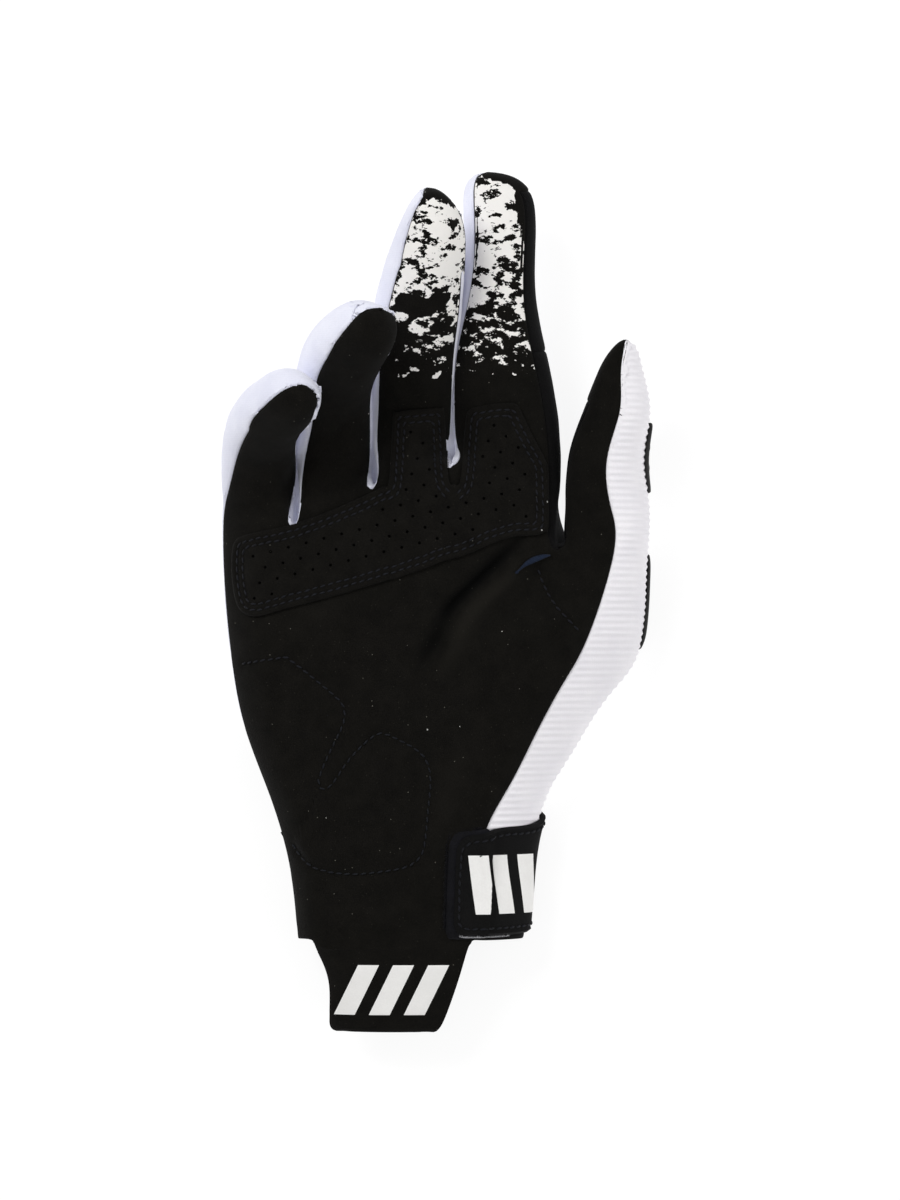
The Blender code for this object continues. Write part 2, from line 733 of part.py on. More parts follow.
def patch_cells():
    """The patch's flat outline, cut into cells small enough to follow the palm."""
    outline = [patch_place(line.x, line.low) for line in PATCH_LINES]
    outline += [patch_place(line.x, line.high) for line in reversed(PATCH_LINES)]
    flat = bmesh.new()
    flat.faces.new([flat.verts.new((x, y, 0.0)) for x, y in outline])
    for axis in (0, 1):
        low, high = min(p[axis] for p in outline), max(p[axis] for p in outline)
        count = math.ceil((high - low) / PATCH_CELL)
        normal = Vector((1, 0, 0)) if axis == 0 else Vector((0, 1, 0))
        for n in range(1, count):
            everything = flat.verts[:] + flat.edges[:] + flat.faces[:]
            bmesh.ops.bisect_plane(flat, geom=everything, dist=PATCH_SNAP,
                                   plane_co=normal * mix(low, high, n / count), plane_no=normal)
    bmesh.ops.triangulate(flat, faces=flat.faces[:])
    flat.verts.index_update()
    places = [v.co.copy() for v in flat.verts]
    faces = [tuple(v.index for v in face.verts) for face in flat.faces]
    flat.free()
    return places, faces


def palm_patch(tree, material):
    places, faces = patch_cells()
    rays = [(place + Vector((0, 0, RAY_START)), Vector((0, 0, -1))) for place in places]
    return laid_sheet("palm_patch", tree, rays, faces, PATCH_THICKNESS, material)


def wrist_rays(lines):
    """Rays from outside the wrist to its axis, one for each point of a strap's grid."""
    rays = []
    for line in lines:
        turn = math.radians(line.turn)
        way = Vector((math.cos(turn), 0, math.sin(turn)))
        for step in range(STRAP_STEPS + 1):
            y = mix(line.low, line.high, step / STRAP_STEPS) * STRAP_WIDTH
            axis = Vector((CUFF_SHIFT, y, MID_HEIGHT))
            rays.append((axis + way * RAY_START, -way))
    return rays


def wrist_strap(surface, strap_material, hook_material):
    """The strap over the thumb side of the wrist, and the hook tape under its free end."""
    pad = laid_sheet("strap_hook_pad", tree_of(surface), wrist_rays(HOOK_PAD_LINES),
                     grid_faces(len(HOOK_PAD_LINES), STRAP_STEPS), HOOK_PAD_THICKNESS, hook_material)
    laid_sheet("wrist_strap", tree_of(surface, pad.data), wrist_rays(STRAP_LINES),
               grid_faces(len(STRAP_LINES), STRAP_STEPS), STRAP_THICKNESS, strap_material)


def thumb_guard(name, tree, lines, material):
    """A rubber guard that follows the back of the thumb."""
    centres = station_centres(len(DIGITS) - 1)
    facing = Vector((math.cos(GUARD_FACING), 0, -math.sin(GUARD_FACING)))
    up = Vector((math.sin(GUARD_FACING), 0, math.cos(GUARD_FACING)))
    rays = []
    for line in lines:
        y = centres[0].y + line.along * THUMB_LENGTH
        step = max([0] + [n for n in range(len(centres) - 1) if centres[n].y <= y])
        share = (y - centres[step].y) / (centres[step + 1].y - centres[step].y)
        centre = centres[step].lerp(centres[step + 1], share)
        for n in range(GUARD_STEPS + 1):
            place = centre + up * THUMB_WIDTH * mix(line.low, line.high, n / GUARD_STEPS)
            rays.append((place + facing * GUARD_RAY_START, -facing))
    laid_sheet(name, tree, rays, grid_faces(len(lines), GUARD_STEPS), GUARD_THICKNESS, material)


# Materials and assembly

def material(name, colour, roughness):
    made = bpy.data.materials.new(name)
    made.use_nodes = True
    shader = made.node_tree.nodes["Principled BSDF"]
    shader.inputs["Base Color"].default_value = (*colour, 1.0)
    shader.inputs["Roughness"].default_value = roughness
    shader.inputs["Metallic"].default_value = 0.0
    return made


def clear_scene():
    for obj in list(bpy.data.objects):
        bpy.data.objects.remove(obj)


def centre_on_footprint():
    """Puts the origin under the middle of the glove's box, by way of an empty."""
    bpy.context.view_layer.update()
    pieces = [o for o in bpy.context.scene.objects if o.type == "MESH" and not o.hide_render]
    corners = np.array([v.co for o in pieces for v in o.data.vertices])
    low, high = corners.min(axis=0), corners.max(axis=0)
    stand = bpy.data.objects.new("glove", None)
    bpy.context.scene.collection.objects.link(stand)
    stand.location = (-(low[0] + high[0]) / 2, -(low[1] + high[1]) / 2, -low[2])
    for piece in pieces:
        piece.parent = stand


def main():
    clear_scene()
    suede = material("black_suede", (0.012, 0.012, 0.013), 0.9)
    knit = material("white_stretch_knit", (0.82, 0.82, 0.87), 0.8)
    stretch = material("black_stretch", (0.013, 0.013, 0.015), 0.85)
    neoprene = material("black_neoprene", (0.012, 0.012, 0.012), 0.8)
    hook = material("black_hook_tape", (0.02, 0.02, 0.022), 0.95)
    rubber = material("black_rubber", (0.015, 0.015, 0.016), 0.5)
    cloth = {
        "palm_panel": suede, "back_panel": knit, "thumb_back_panel": knit,
        "gusset_pinky_ring": knit, "gusset_ring_middle": knit, "gusset_middle_index": knit,
        "thumb_crotch_gusset": stretch, "index_side_panel": stretch, "cuff_band": neoprene,
    }
    surface = smooth_surface(hand_cage(), SMOOTH_LEVEL)
    shape_surface(surface)
    walls = wall_thickness(surface)
    for name in PANELS:
        cut_panel(surface, walls, name, cloth[name])
    tree = tree_of(surface)
    palm_patch(tree, suede)
    wrist_strap(surface, neoprene, hook)
    thumb_guard("thumb_guard_upper", tree, UPPER_GUARD, rubber)
    thumb_guard("thumb_guard_lower", tree, LOWER_GUARD, rubber)
    centre_on_footprint()


main()
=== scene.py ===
# Right-hand motocross glove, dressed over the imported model: suede palm with a perforated patch,
# stretch knit back, ribbed thumb side, hook-and-loop wrist strap and rubber thumb guards.
# The hand form is made in its own frame, as the model's is, and each finished piece is then moved
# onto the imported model.

import math
from collections import namedtuple

import bmesh
import bpy
import numpy as np
from mathutils import Matrix, Vector, geometry, kdtree, noise
from mathutils.bvhtree import BVHTree


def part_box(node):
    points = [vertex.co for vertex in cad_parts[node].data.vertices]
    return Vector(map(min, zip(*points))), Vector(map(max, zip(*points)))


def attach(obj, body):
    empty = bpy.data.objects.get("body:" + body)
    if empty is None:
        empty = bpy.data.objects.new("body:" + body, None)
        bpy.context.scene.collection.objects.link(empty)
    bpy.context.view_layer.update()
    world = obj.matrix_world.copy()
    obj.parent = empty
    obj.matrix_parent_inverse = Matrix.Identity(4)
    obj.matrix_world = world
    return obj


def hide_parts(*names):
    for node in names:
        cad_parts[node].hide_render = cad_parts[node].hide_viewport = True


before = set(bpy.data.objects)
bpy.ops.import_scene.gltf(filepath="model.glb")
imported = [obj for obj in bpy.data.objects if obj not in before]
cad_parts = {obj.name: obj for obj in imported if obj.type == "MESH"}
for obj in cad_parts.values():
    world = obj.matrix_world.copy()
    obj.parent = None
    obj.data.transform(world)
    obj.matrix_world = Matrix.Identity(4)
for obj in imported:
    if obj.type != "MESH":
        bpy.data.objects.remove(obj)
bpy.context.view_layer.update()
bpy.context.scene.view_settings.view_transform = "Standard"

MM = 0.001

# Cloth
SUEDE_WALL = 0.9 * MM
KNIT_WALL = 0.8 * MM
CUFF_WALL = 1.6 * MM
FORM_LEVEL = 3  # subdivisions of the form that the panels are cut from
FINE_LEVEL = 4  # subdivisions of the form that finer detail is laid on
FIT_ROUNDS = 4

# Hand
HAND_LENGTH = 131.7 * MM  # cuff edge to the crotch of the middle finger
CUFF_WIDTH = 64.5 * MM
CUFF_SHIFT = -6.15 * MM  # the cuff's middle, from the middle of the knuckle row
PALM_DEPTH = 27.0 * MM
MID_HEIGHT = 13.0 * MM  # height of the hand's middle layer above the surface
WEB_WIDTH = 2.6 * MM
WEB_RISE = 1.6 * MM  # lift of the back of the hand at the webs
THUMB_SIDE = 14.7 * MM  # from the thumb's front seam to its outer side

# Digits: length from the root, width and depth of the finger
PINKY_LENGTH = 59.0 * MM
PINKY_WIDTH = 19.4 * MM
RING_LENGTH = 78.0 * MM
RING_WIDTH = 21.5 * MM
MIDDLE_LENGTH = 84.0 * MM
MIDDLE_WIDTH = 23.0 * MM
INDEX_LENGTH = 92.0 * MM
INDEX_WIDTH = 22.0 * MM
THUMB_LENGTH = 74.0 * MM
THUMB_WIDTH = 25.0 * MM

# Pull tab: the palm's suede carried on past the cuff
TAB_LENGTH = 26.3 * MM
TAB_DROP = 7.0 * MM

# Wrist strap
STRAP_THICKNESS = 1.6 * MM
STRAP_WIDTH = 29.0 * MM
HOOK_PAD_THICKNESS = 1.4 * MM

# Roundness of the sections: 2 is an ellipse, more is squarer
PALM_SIDE_POWER = 2.5
BACK_SIDE_POWER = 3.6
DIGIT_POWER = 2.33

# Places on the hand's sides: heights as shares of half its depth, insets as shares of half its width
FRONT_EDGE_HEIGHT = 0.06
OUTER_EDGE_HEIGHT = -0.45
OUTER_EDGE_INSET = 0.04
BACK_INSET = 0.09
BACK_SHARE = 0.6  # how far the back's points follow the front's spacing
CUFF_HEIGHT = 0.9  # the cuff's middle layer, as a share of MID_HEIGHT
CROTCH_DROP = 2.5 * MM  # how far the thumb's outer side starts below its front seam

# Sections over which a digit's front seams turn from their root angle to their tip angle
SEAM_STEPS = 3

RAY_START = 200 * MM  # distance from which a ray looks for the surface below it
SIDE_RAY_START = 100 * MM
FACE_HEIGHT = 10 * MM  # the palm's face lies above it, the cuff's underside below it

PANELS = (
    "palm_panel",
    "back_panel",
    "thumb_back_panel",
    "gusset_pinky_ring",
    "gusset_ring_middle",
    "gusset_middle_index",
    "thumb_crotch_gusset",
    "index_side_panel",
    "cuff_band",
)

# One section across the hand. along: share of the way from the cuff to the roots.
# left, right: share of the way from the cuff's side to the root row's side.
# seam: place of the palm's thumb-side seam, as a share of the width there.
# deep: share of PALM_DEPTH.
Row = namedtuple("Row", "along left right seam deep")
PALM_ROWS = [Row(*row) for row in (
    (0.00, 0.000, 0.00, 0.84, 0.86), (0.17, 0.105, 0.03, 0.82, 0.89), (0.34, 0.37, 0.08, 0.81, 0.96),
    (0.51, 0.715, 0.235, 0.865, 1.05), (0.68, 0.89, 0.485, 0.87, 1.09), (0.85, 0.98, 0.765, 0.87, 1.06),
    (1.00, 1.00, 1.00, 0.868, 1.00))]

# One digit. span: its front width at the root, as a share of its own width.
# root_left, root_right: height of its two root corners, as shares of HAND_LENGTH.
# left, right: degrees from the section's side to the palm panel's seam, at the root and at the tip.
Digit = namedtuple("Digit", "name length width span root_left root_right left right stations")

# One section of a digit. reach, sway, lift: how far it lies from the root along +Y, +X and +Z,
# as shares of the digit's length. wide, deep: shares of its width. roll turns the palm side
# towards the thumb side. skew lifts the section's left side. Both are in degrees.
Station = namedtuple("Station", "reach sway lift wide deep roll skew")

PINKY = Digit("pinky", PINKY_LENGTH, PINKY_WIDTH, 1.00, 0.909, 0.907, (25, 56), (22, 12),
    [Station(*row) for row in (
    (0.15, 0.014, 0.02, 1.06, 0.98, 6, 0),
    (0.31, 0.014, 0.11, 1.08, 0.98, 16, 0),
    (0.43, 0.034, 0.25, 1.04, 0.98, 26, 0),
    (0.52, 0.100, 0.42, 1.00, 0.97, 32, 0),
    (0.575, 0.188, 0.58, 0.86, 0.86, 34, 0),
    (0.60, 0.238, 0.68, 0.56, 0.56, 34, 0),
    (0.628, 0.262, 0.715, 0.0, 0.0, 34, 0)
)])
RING = Digit("ring", RING_LENGTH, RING_WIDTH, 0.93, 0.912, 0.985, (40, 48), (22, 12),
    [Station(*row) for row in (
    (0.15, -0.004, 0.020, 1.02, 0.93, 4, 6),
    (0.31, -0.004, 0.070, 0.98, 0.94, 14, 0),
    (0.43, 0.000, 0.175, 1.00, 0.98, 24, 0),
    (0.53, 0.040, 0.31, 1.02, 1.00, 30, 0),
    (0.60, 0.110, 0.45, 0.86, 0.90, 32, 0),
    (0.635, 0.155, 0.545, 0.58, 0.60, 32, 0),
    (0.680, 0.168, 0.585, 0.0, 0.0, 32, 0)
)])
MIDDLE = Digit("middle", MIDDLE_LENGTH, MIDDLE_WIDTH, 0.883, 0.990, 1.025, (24, 48), (14, 20),
    [Station(*row) for row in (
    (0.10, -0.006, 0.010, 0.95, 0.87, 0, 4),
    (0.26, -0.002, 0.045, 0.995, 0.87, 0, 0),
    (0.43, 0.000, 0.110, 1.05, 0.88, 2, 0),
    (0.60, 0.021, 0.185, 1.06, 0.88, 4, 0),
    (0.77, 0.058, 0.270, 0.90, 0.82, 4, 10),
    (0.873, 0.088, 0.330, 0.72, 0.60, 4, 22),
    (0.926, 0.104, 0.362, 0.0, 0.0, 4, 24)
)])
INDEX = Digit("index", INDEX_LENGTH, INDEX_WIDTH, 1.205, 1.032, 0.877, (14, 44), (40, 52),
    [Station(*row) for row in (
    (0.115, 0.010, 0.004, 1.45, 1.02, 0, 20),
    (0.28, -0.004, 0.010, 1.40, 1.00, 0, 8),
    (0.46, -0.022, 0.022, 1.26, 0.95, 0, 2),
    (0.64, -0.023, 0.044, 1.005, 0.89, 2, 0),
    (0.82, -0.016, 0.070, 0.93, 0.82, 4, 4),
    (0.955, -0.026, 0.088, 0.85, 0.56, 4, 12),
    (1.012, -0.060, 0.095, 0.0, 0.0, 4, 14)
)])
THUMB = Digit("thumb", THUMB_LENGTH, THUMB_WIDTH, 0.34, 0.846, 0.658, (40, 62), (62, 55),
    [Station(*row) for row in (
    (0.18, 0.020, 0.01, 0.99, 0.96, -20, 12),
    (0.35, 0.024, 0.03, 0.96, 0.92, -30, 6),
    (0.54, 0.024, 0.07, 0.83, 0.86, -35, 0),
    (0.72, 0.066, 0.12, 0.72, 0.70, -35, 0),
    (0.86, 0.078, 0.16, 0.46, 0.48, -35, 0),
    (0.935, 0.092, 0.19, 0.25, 0.28, -35, 0),
    (0.968, 0.096, 0.20, 0.0, 0.0, -35, 0)
)])
DIGITS = (PINKY, RING, MIDDLE, INDEX, THUMB)

# Lines across the pull tab, from the cuff outwards. out: share of TAB_LENGTH.
# left, right: the tab's edges, as shares of CUFF_WIDTH from the cuff's left side.
TabRow = namedtuple("TabRow", "out left right")
TAB_ROWS = [TabRow(*row) for row in (
    (0.0, 0.06, 0.80), (0.11, 0.083, 0.753), (0.45, 0.138, 0.711), (0.88, 0.139, 0.648),
    (1.0, 0.163, 0.612))]

# Folds and hollows pressed into the palm: a line from one end to the other.
# x: share of the knuckle row's span, y: share of HAND_LENGTH. depth: share of PALM_DEPTH,
# less than 0 for a mound. reach: share of HAND_LENGTH.
Fold = namedtuple("Fold", "x0 y0 x1 y1 depth0 depth1 reach")
FOLDS = [Fold(*row) for row in (
    (0.745, 0.780, 0.470, 0.595, 0.12, 0.0, 0.045), (0.58, 0.70, 0.48, 0.62, 0.055, 0.055, 0.152),
    (0.75, 0.60, 0.81, 0.66, -0.11, -0.11, 0.121))]
# How far a place must face up to be pressed in at all, and in full
FOLD_START = 0.3
FOLD_FULL = 0.7

# The palm patch, one row for each line across it, left to right.
# x: share of the way from the pinky's outer side to the index finger's root corner.
# low, high: shares of HAND_LENGTH.
PatchLine = namedtuple("PatchLine", "x low high")
PATCH_LINES = [PatchLine(*row) for row in (
    (0.030, 0.785, 0.840), (0.042, 0.734, 0.866), (0.065, 0.709, 0.875), (0.111, 0.701, 0.883),
    (0.199, 0.718, 0.896), (0.308, 0.738, 0.922), (0.417, 0.760, 0.955), (0.487, 0.775, 0.980),
    (0.508, 0.780, 0.992), (0.520, 0.781, 1.132), (0.532, 0.783, 1.141), (0.562, 0.791, 1.145),
    (0.596, 0.799, 1.147), (0.632, 0.808, 1.149), (0.661, 0.817, 1.150), (0.676, 0.821, 1.138),
    (0.688, 0.823, 1.000), (0.704, 0.826, 0.986), (0.724, 0.829, 0.996), (0.740, 0.834, 1.126),
    (0.754, 0.837, 1.148), (0.785, 0.847, 1.154), (0.830, 0.861, 1.159), (0.886, 0.873, 1.160),
    (0.903, 0.874, 1.149), (0.938, 0.875, 1.097), (0.961, 0.877, 1.067), (0.981, 0.884, 1.040),
    (0.991, 0.896, 1.010))]

# The wrist strap, one row for each line across it, from its sewn base to its free end.
# turn: degrees round the wrist from +X. low, high: its edges' distance from the cuff's edge,
# as shares of STRAP_WIDTH.
StrapLine = namedtuple("StrapLine", "turn low high")
STRAP_LINES = [StrapLine(*row) for row in (
    (-17, 0.10, 1.27), (-9, 0.075, 1.25), (-2, 0.06, 1.16), (7, 0.05, 1.12), (15, 0.045, 1.115),
    (23, 0.045, 1.09), (31, 0.045, 1.055), (36.5, 0.05, 1.03), (40.5, 0.075, 0.985), (43.0, 0.16, 0.90))]
HOOK_PAD_LINES = [StrapLine(*row) for row in (
    (26, 0.018, 1.10), (34, 0.015, 1.08), (40, 0.015, 1.065), (43.5, 0.03, 1.03), (46.0, 0.12, 0.95))]

# Rubber guards on the back of the thumb, one row for each line across one, going up it.
# along: share of the thumb's length. low, high: shares of the thumb's width, from its middle.
GuardLine = namedtuple("GuardLine", "along low high")
UPPER_GUARD = [GuardLine(*row) for row in (
    (0.385, -0.14, 0.16), (0.43, -0.27, 0.25), (0.52, -0.31, 0.27), (0.61, -0.25, 0.25),
    (0.655, -0.12, 0.16))]
LOWER_GUARD = [GuardLine(*row) for row in (
    (-0.22, -0.06, 0.16), (-0.15, -0.16, 0.28), (-0.03, -0.20, 0.31), (0.09, -0.20, 0.26),
    (0.15, -0.12, 0.12))]

# Points round the hand form: the front of each digit takes three and each web one step.
FRONT = 3 * len(DIGITS)
RIGHT = FRONT
BACK = FRONT + 1
LEFT = 2 * FRONT + 1
AROUND = 2 * FRONT + 2


def back_of(front):
    """The ring's back point under one of its front points."""
    return LEFT - 1 - front


def mix(a, b, share):
    return a + (b - a) * share


# The smooth hand form

def root_row():
    """(x, y) of each front point along the knuckles, left to right, and the outer side's x."""
    spans = [d.width * d.span for d in DIGITS]
    total = sum(spans) + WEB_WIDTH * (len(DIGITS) - 1) + THUMB_SIDE
    x = -total / 2
    places = []
    for digit, span in zip(DIGITS, spans):
        low, high = digit.root_left * HAND_LENGTH, digit.root_right * HAND_LENGTH
        places += [(x, low), (x + span / 2, (low + high) / 2), (x + span, high)]
        x += span + WEB_WIDTH
    return places, x - WEB_WIDTH + THUMB_SIDE


def dome(side, power):
    """Height of a flattened arch at a place from -1 to 1 across it."""
    return (1 - min(abs(side), 1.0) ** power) ** (1 / power)


def palm_ring(row):
    """The points of one section across the hand."""
    places, root_right = root_row()
    root_left = places[0][0]
    left = mix(CUFF_SHIFT - CUFF_WIDTH / 2, root_left, row.left)
    right = mix(CUFF_SHIFT + CUFF_WIDTH / 2, root_right, row.right)
    seam = mix(left, right, row.seam)
    middle, half = (left + right) / 2, (right - left) / 2
    root_seam = places[-1][0]
    high = MID_HEIGHT * mix(CUFF_HEIGHT, 1.0, row.along)
    rise = PALM_DEPTH * row.deep / 2
    ring = [None] * AROUND
    for i, (root_x, root_y) in enumerate(places):
        share = mix(i / (FRONT - 1), (root_x - root_left) / (root_seam - root_left), row.along)
        y = root_y * row.along
        x = mix(left, seam, share)
        front_rise = max(FRONT_EDGE_HEIGHT, dome((x - middle) / half, PALM_SIDE_POWER))
        ring[i] = (x, y, high + rise * front_rise)
        inset = BACK_INSET * half
        back_x = mix(left + inset, right - inset, mix(i / (FRONT - 1), share, BACK_SHARE))
        web = WEB_RISE * row.along ** 4 if i % 3 != 1 else 0.0
        back_rise = dome((back_x - middle) / half, BACK_SIDE_POWER)
        ring[back_of(i)] = (back_x, y, high + web - rise * back_rise)
    ring[RIGHT] = (right, (places[-1][1] - CROTCH_DROP) * row.along, high)
    outer_x = left + OUTER_EDGE_INSET * half
    ring[LEFT] = (outer_x, places[0][1] * row.along, high + OUTER_EDGE_HEIGHT * rise)
    return ring


def digit_root(number):
    """Centre of a digit's root."""
    places, _ = root_row()
    front = places[3 * number:3 * number + 3]
    x = (front[0][0] + front[2][0]) / 2
    y = (front[0][1] + front[2][1]) / 2
    if number == len(DIGITS) - 1:
        x = (front[0][0] + places[-1][0] + THUMB_SIDE) / 2
    return Vector((x, y, MID_HEIGHT))


def station_centres(number):
    digit = DIGITS[number]
    root = digit_root(number)
    return [root] + [root + digit.length * Vector((s.sway, s.reach, s.lift)) for s in digit.stations]


def station_frame(centres, step, station):
    """Sideways and palmward axes of one section, at right angles to the digit's own line."""
    before, after = centres[step], centres[min(step + 2, len(centres) - 1)]
    forward = (after - before).normalized()
    heading = math.atan2(forward.x, forward.y)
    across = Vector((math.cos(heading), -math.sin(heading), 0))
    across = (across - across.dot(forward) * forward).normalized()
    palmward = across.cross(forward)
    skew, roll = math.radians(station.skew), math.radians(station.roll)
    across = across * math.cos(skew) - forward * math.sin(skew)
    turned = across * math.cos(roll) - palmward * math.sin(roll)
    return turned, palmward * math.cos(roll) + across * math.sin(roll)


def section_point(centre, across, palmward, half_wide, half_deep, degrees):
    """A point on a rounded, slightly square section."""
    c, s = math.cos(math.radians(degrees)), math.sin(math.radians(degrees))
    x = half_wide * math.copysign(abs(c) ** (2 / DIGIT_POWER), c)
    z = half_deep * math.copysign(abs(s) ** (2 / DIGIT_POWER), s)
    return centre + across * x + palmward * z


def digit_rings(number):
    """The eight points of each section of a digit, then its tip."""
    digit = DIGITS[number]
    centres = station_centres(number)
    rings = []
    for step, station in enumerate(digit.stations[:-1]):
        share = min(1.0, step / SEAM_STEPS)
        left, right = 180 - mix(*digit.left, share), mix(*digit.right, share)
        turns = (left, (left + right) / 2, right, (right - 45) / 2, -45, -90, -135, (left + 225) / 2)
        across, palmward = station_frame(centres, step, station)
        wide, deep = digit.width * station.wide / 2, digit.width * station.deep / 2
        rings.append([section_point(centres[step + 1], across, palmward, wide, deep, t) for t in turns])
    return rings, centres[-1]


class Cage:
    """Points and faces of the coarse hand form, with the panel that each face belongs to."""

    def __init__(self):
        self.points, self.faces, self.panels = [], [], []

    def point(self, place):
        self.points.append(tuple(place))
        return len(self.points) - 1

    def ring(self, places):
        return [self.point(p) for p in places]

    def face(self, corners, panel):
        self.faces.append(tuple(corners))
        self.panels.append(PANELS.index(panel))

    def band(self, low, high, panel_of, closed=True):
        """Faces between two rings. panel_of names the panel of each step round."""
        for k in range(len(low) if closed else len(low) - 1):
            n = (k + 1) % len(low)
            self.face((low[k], low[n], high[n], high[k]), panel_of(k))


def palm_panel_of(row, k):
    if k < FRONT - 1:
        return "palm_panel"
    if k in (RIGHT - 1, RIGHT):
        return "cuff_band" if row < 2 else "thumb_back_panel"
    if row < 3:
        return "cuff_band"
    if k < back_of(3 * 3 + 2):
        return "thumb_back_panel"
    return "back_panel"


# Which panel covers each of a digit's four sides: front, right, back, left.
SIDES = {
    "pinky": ("palm_panel", "gusset_pinky_ring", "back_panel", "back_panel"),
    "ring": ("palm_panel", "gusset_ring_middle", "back_panel", "gusset_pinky_ring"),
    "middle": ("palm_panel", "gusset_middle_index", "back_panel", "gusset_ring_middle"),
    "index": ("palm_panel", "index_side_panel", "back_panel", "gusset_middle_index"),
    "thumb": ("palm_panel", "thumb_back_panel", "thumb_back_panel", "palm_panel"),
}
# Which panel covers each of the eight faces round a digit's tip, in the same order.
ROUND_TIP = ("palm_panel",) * 3 + ("back_panel",) * 4 + ("palm_panel",)
TIPS = {
    "pinky": ROUND_TIP,
    "ring": ROUND_TIP,
    "middle": ("palm_panel",) * 6 + ("gusset_ring_middle",) * 2,
    "index": ("palm_panel",) * 5 + ("gusset_middle_index",) * 3,
    "thumb": ("palm_panel",) * 2 + ("thumb_back_panel",) * 4 + ("palm_panel",) * 2,
}
GUSSETS = ("gusset_pinky_ring", "gusset_ring_middle", "gusset_middle_index", "thumb_crotch_gusset")
CROTCH_STEPS = {("index", 1): 3, ("thumb", 3): 4}


def digit_panel_of(digit, step, k):
    side = k // 2
    if step < CROTCH_STEPS.get((digit.name, side), 0):
        return "thumb_crotch_gusset"
    return SIDES[digit.name][side]


def add_webs(cage, top):
    """The short faces between neighbouring digits. Returns the mid-depth points of each."""
    mids = []
    for w in range(len(DIGITS) - 1):
        a, b = 3 * w + 2, 3 * w + 3
        pair = []
        for front in (a, b):
            low, high = Vector(cage.points[top[front]]), Vector(cage.points[top[back_of(front)]])
            pair.append(cage.point((low + high) / 2))
        cage.face((top[a], top[b], pair[1], pair[0]), GUSSETS[w])
        cage.face((pair[0], pair[1], top[back_of(b)], top[back_of(a)]), GUSSETS[w])
        mids.append(pair)
    return mids


def add_digit(cage, number, top, mids):
    digit = DIGITS[number]
    f = 3 * number
    right = top[RIGHT] if number == len(DIGITS) - 1 else mids[number][0]
    left = top[LEFT] if number == 0 else mids[number - 1][1]
    low = [top[f], top[f + 1], top[f + 2], right]
    low += [top[back_of(f + 2)], top[back_of(f + 1)], top[back_of(f)], left]
    rings, tip = digit_rings(number)
    for step, places in enumerate(rings):
        high = cage.ring(places)
        cage.band(low, high, lambda k: digit_panel_of(digit, step, k))
        low = high
    pole = cage.point(tip)
    for k in range(len(low)):
        cage.face((low[k], low[(k + 1) % len(low)], pole), TIPS[digit.name][k])


def add_pull_tab(cage, cuff):
    """Rows of points carried on from the cuff's front edge, drooping towards the end."""
    columns = range(1, FRONT - 1)
    near = [cuff[c] for c in columns]
    for tab in TAB_ROWS[1:]:
        far = []
        for n, c in enumerate(columns):
            share = n / (len(columns) - 1)
            z0 = cage.points[cuff[c]][2]
            left = CUFF_SHIFT + CUFF_WIDTH * (tab.left - 0.5)
            right = CUFF_SHIFT + CUFF_WIDTH * (tab.right - 0.5)
            z = z0 - TAB_DROP * tab.out ** 1.5
            far.append(cage.point((mix(left, right, share), -tab.out * TAB_LENGTH, z)))
        cage.band(far, near, lambda k: "palm_panel", closed=False)
        near = far


def hand_cage():
    cage = Cage()
    rings = [cage.ring(palm_ring(row)) for row in PALM_ROWS]
    for number, (low, high) in enumerate(zip(rings, rings[1:])):
        cage.band(low, high, lambda k: palm_panel_of(number, k))
    add_pull_tab(cage, rings[0])
    mids = add_webs(cage, rings[-1])
    for number in range(len(DIGITS)):
        add_digit(cage, number, rings[-1], mids)
    return cage


def evaluated_mesh(guide):
    bpy.context.view_layer.update()
    graph = bpy.context.evaluated_depsgraph_get()
    return bpy.data.meshes.new_from_object(guide.evaluated_get(graph))


def smooth_surface(cage, level):
    """The subdivided hand form. It is fitted so that it passes through the cage's own points."""
    mesh = bpy.data.meshes.new("hand_form")
    mesh.from_pydata(cage.points, [], cage.faces)
    for name in PANELS:
        mesh.materials.append(bpy.data.materials.new("form_" + name))
    mesh.polygons.foreach_set("material_index", cage.panels)
    guide = bpy.data.objects.new("hand_form", mesh)
    guide.hide_render = True
    bpy.context.scene.collection.objects.link(guide)
    smooth = guide.modifiers.new("smooth", "SUBSURF")
    smooth.levels = smooth.render_levels = level
    target = np.array(cage.points)
    control = target.copy()
    for _ in range(FIT_ROUNDS):
        result = evaluated_mesh(guide)
        reached = np.array([v.co for v in result.vertices[:len(target)]])
        bpy.data.meshes.remove(result)
        control += target - reached
        mesh.vertices.foreach_set("co", control.ravel())
        mesh.update()
    result = evaluated_mesh(guide)
    bpy.data.objects.remove(guide)
    return result


def fold_depth(x, y):
    """How far the palm is pressed in at a place, from the table of folds."""
    places, right = root_row()
    left = places[0][0]
    total = 0.0
    for fold in FOLDS:
        start = Vector((mix(left, right, fold.x0), fold.y0 * HAND_LENGTH))
        end = Vector((mix(left, right, fold.x1), fold.y1 * HAND_LENGTH))
        run = end - start
        share = (Vector((x, y)) - start).dot(run) / run.length_squared
        share = min(max(share, 0.0), 1.0)
        away = (Vector((x, y)) - start - run * share).length / (fold.reach * HAND_LENGTH)
        total += mix(fold.depth0, fold.depth1, share) * PALM_DEPTH * math.exp(-away * away)
    return total


def shape_surface(mesh):
    """Presses the folds into the palm side, and flattens what would lie below the surface."""
    normals = [v.normal.copy() for v in mesh.vertices]
    for vertex, normal in zip(mesh.vertices, normals):
        if normal.z > FOLD_START:
            share = min(1.0, (normal.z - FOLD_START) / (FOLD_FULL - FOLD_START))
            vertex.co.z -= fold_depth(vertex.co.x, vertex.co.y) * share
        vertex.co.z = max(vertex.co.z, 0.0)
    mesh.update()


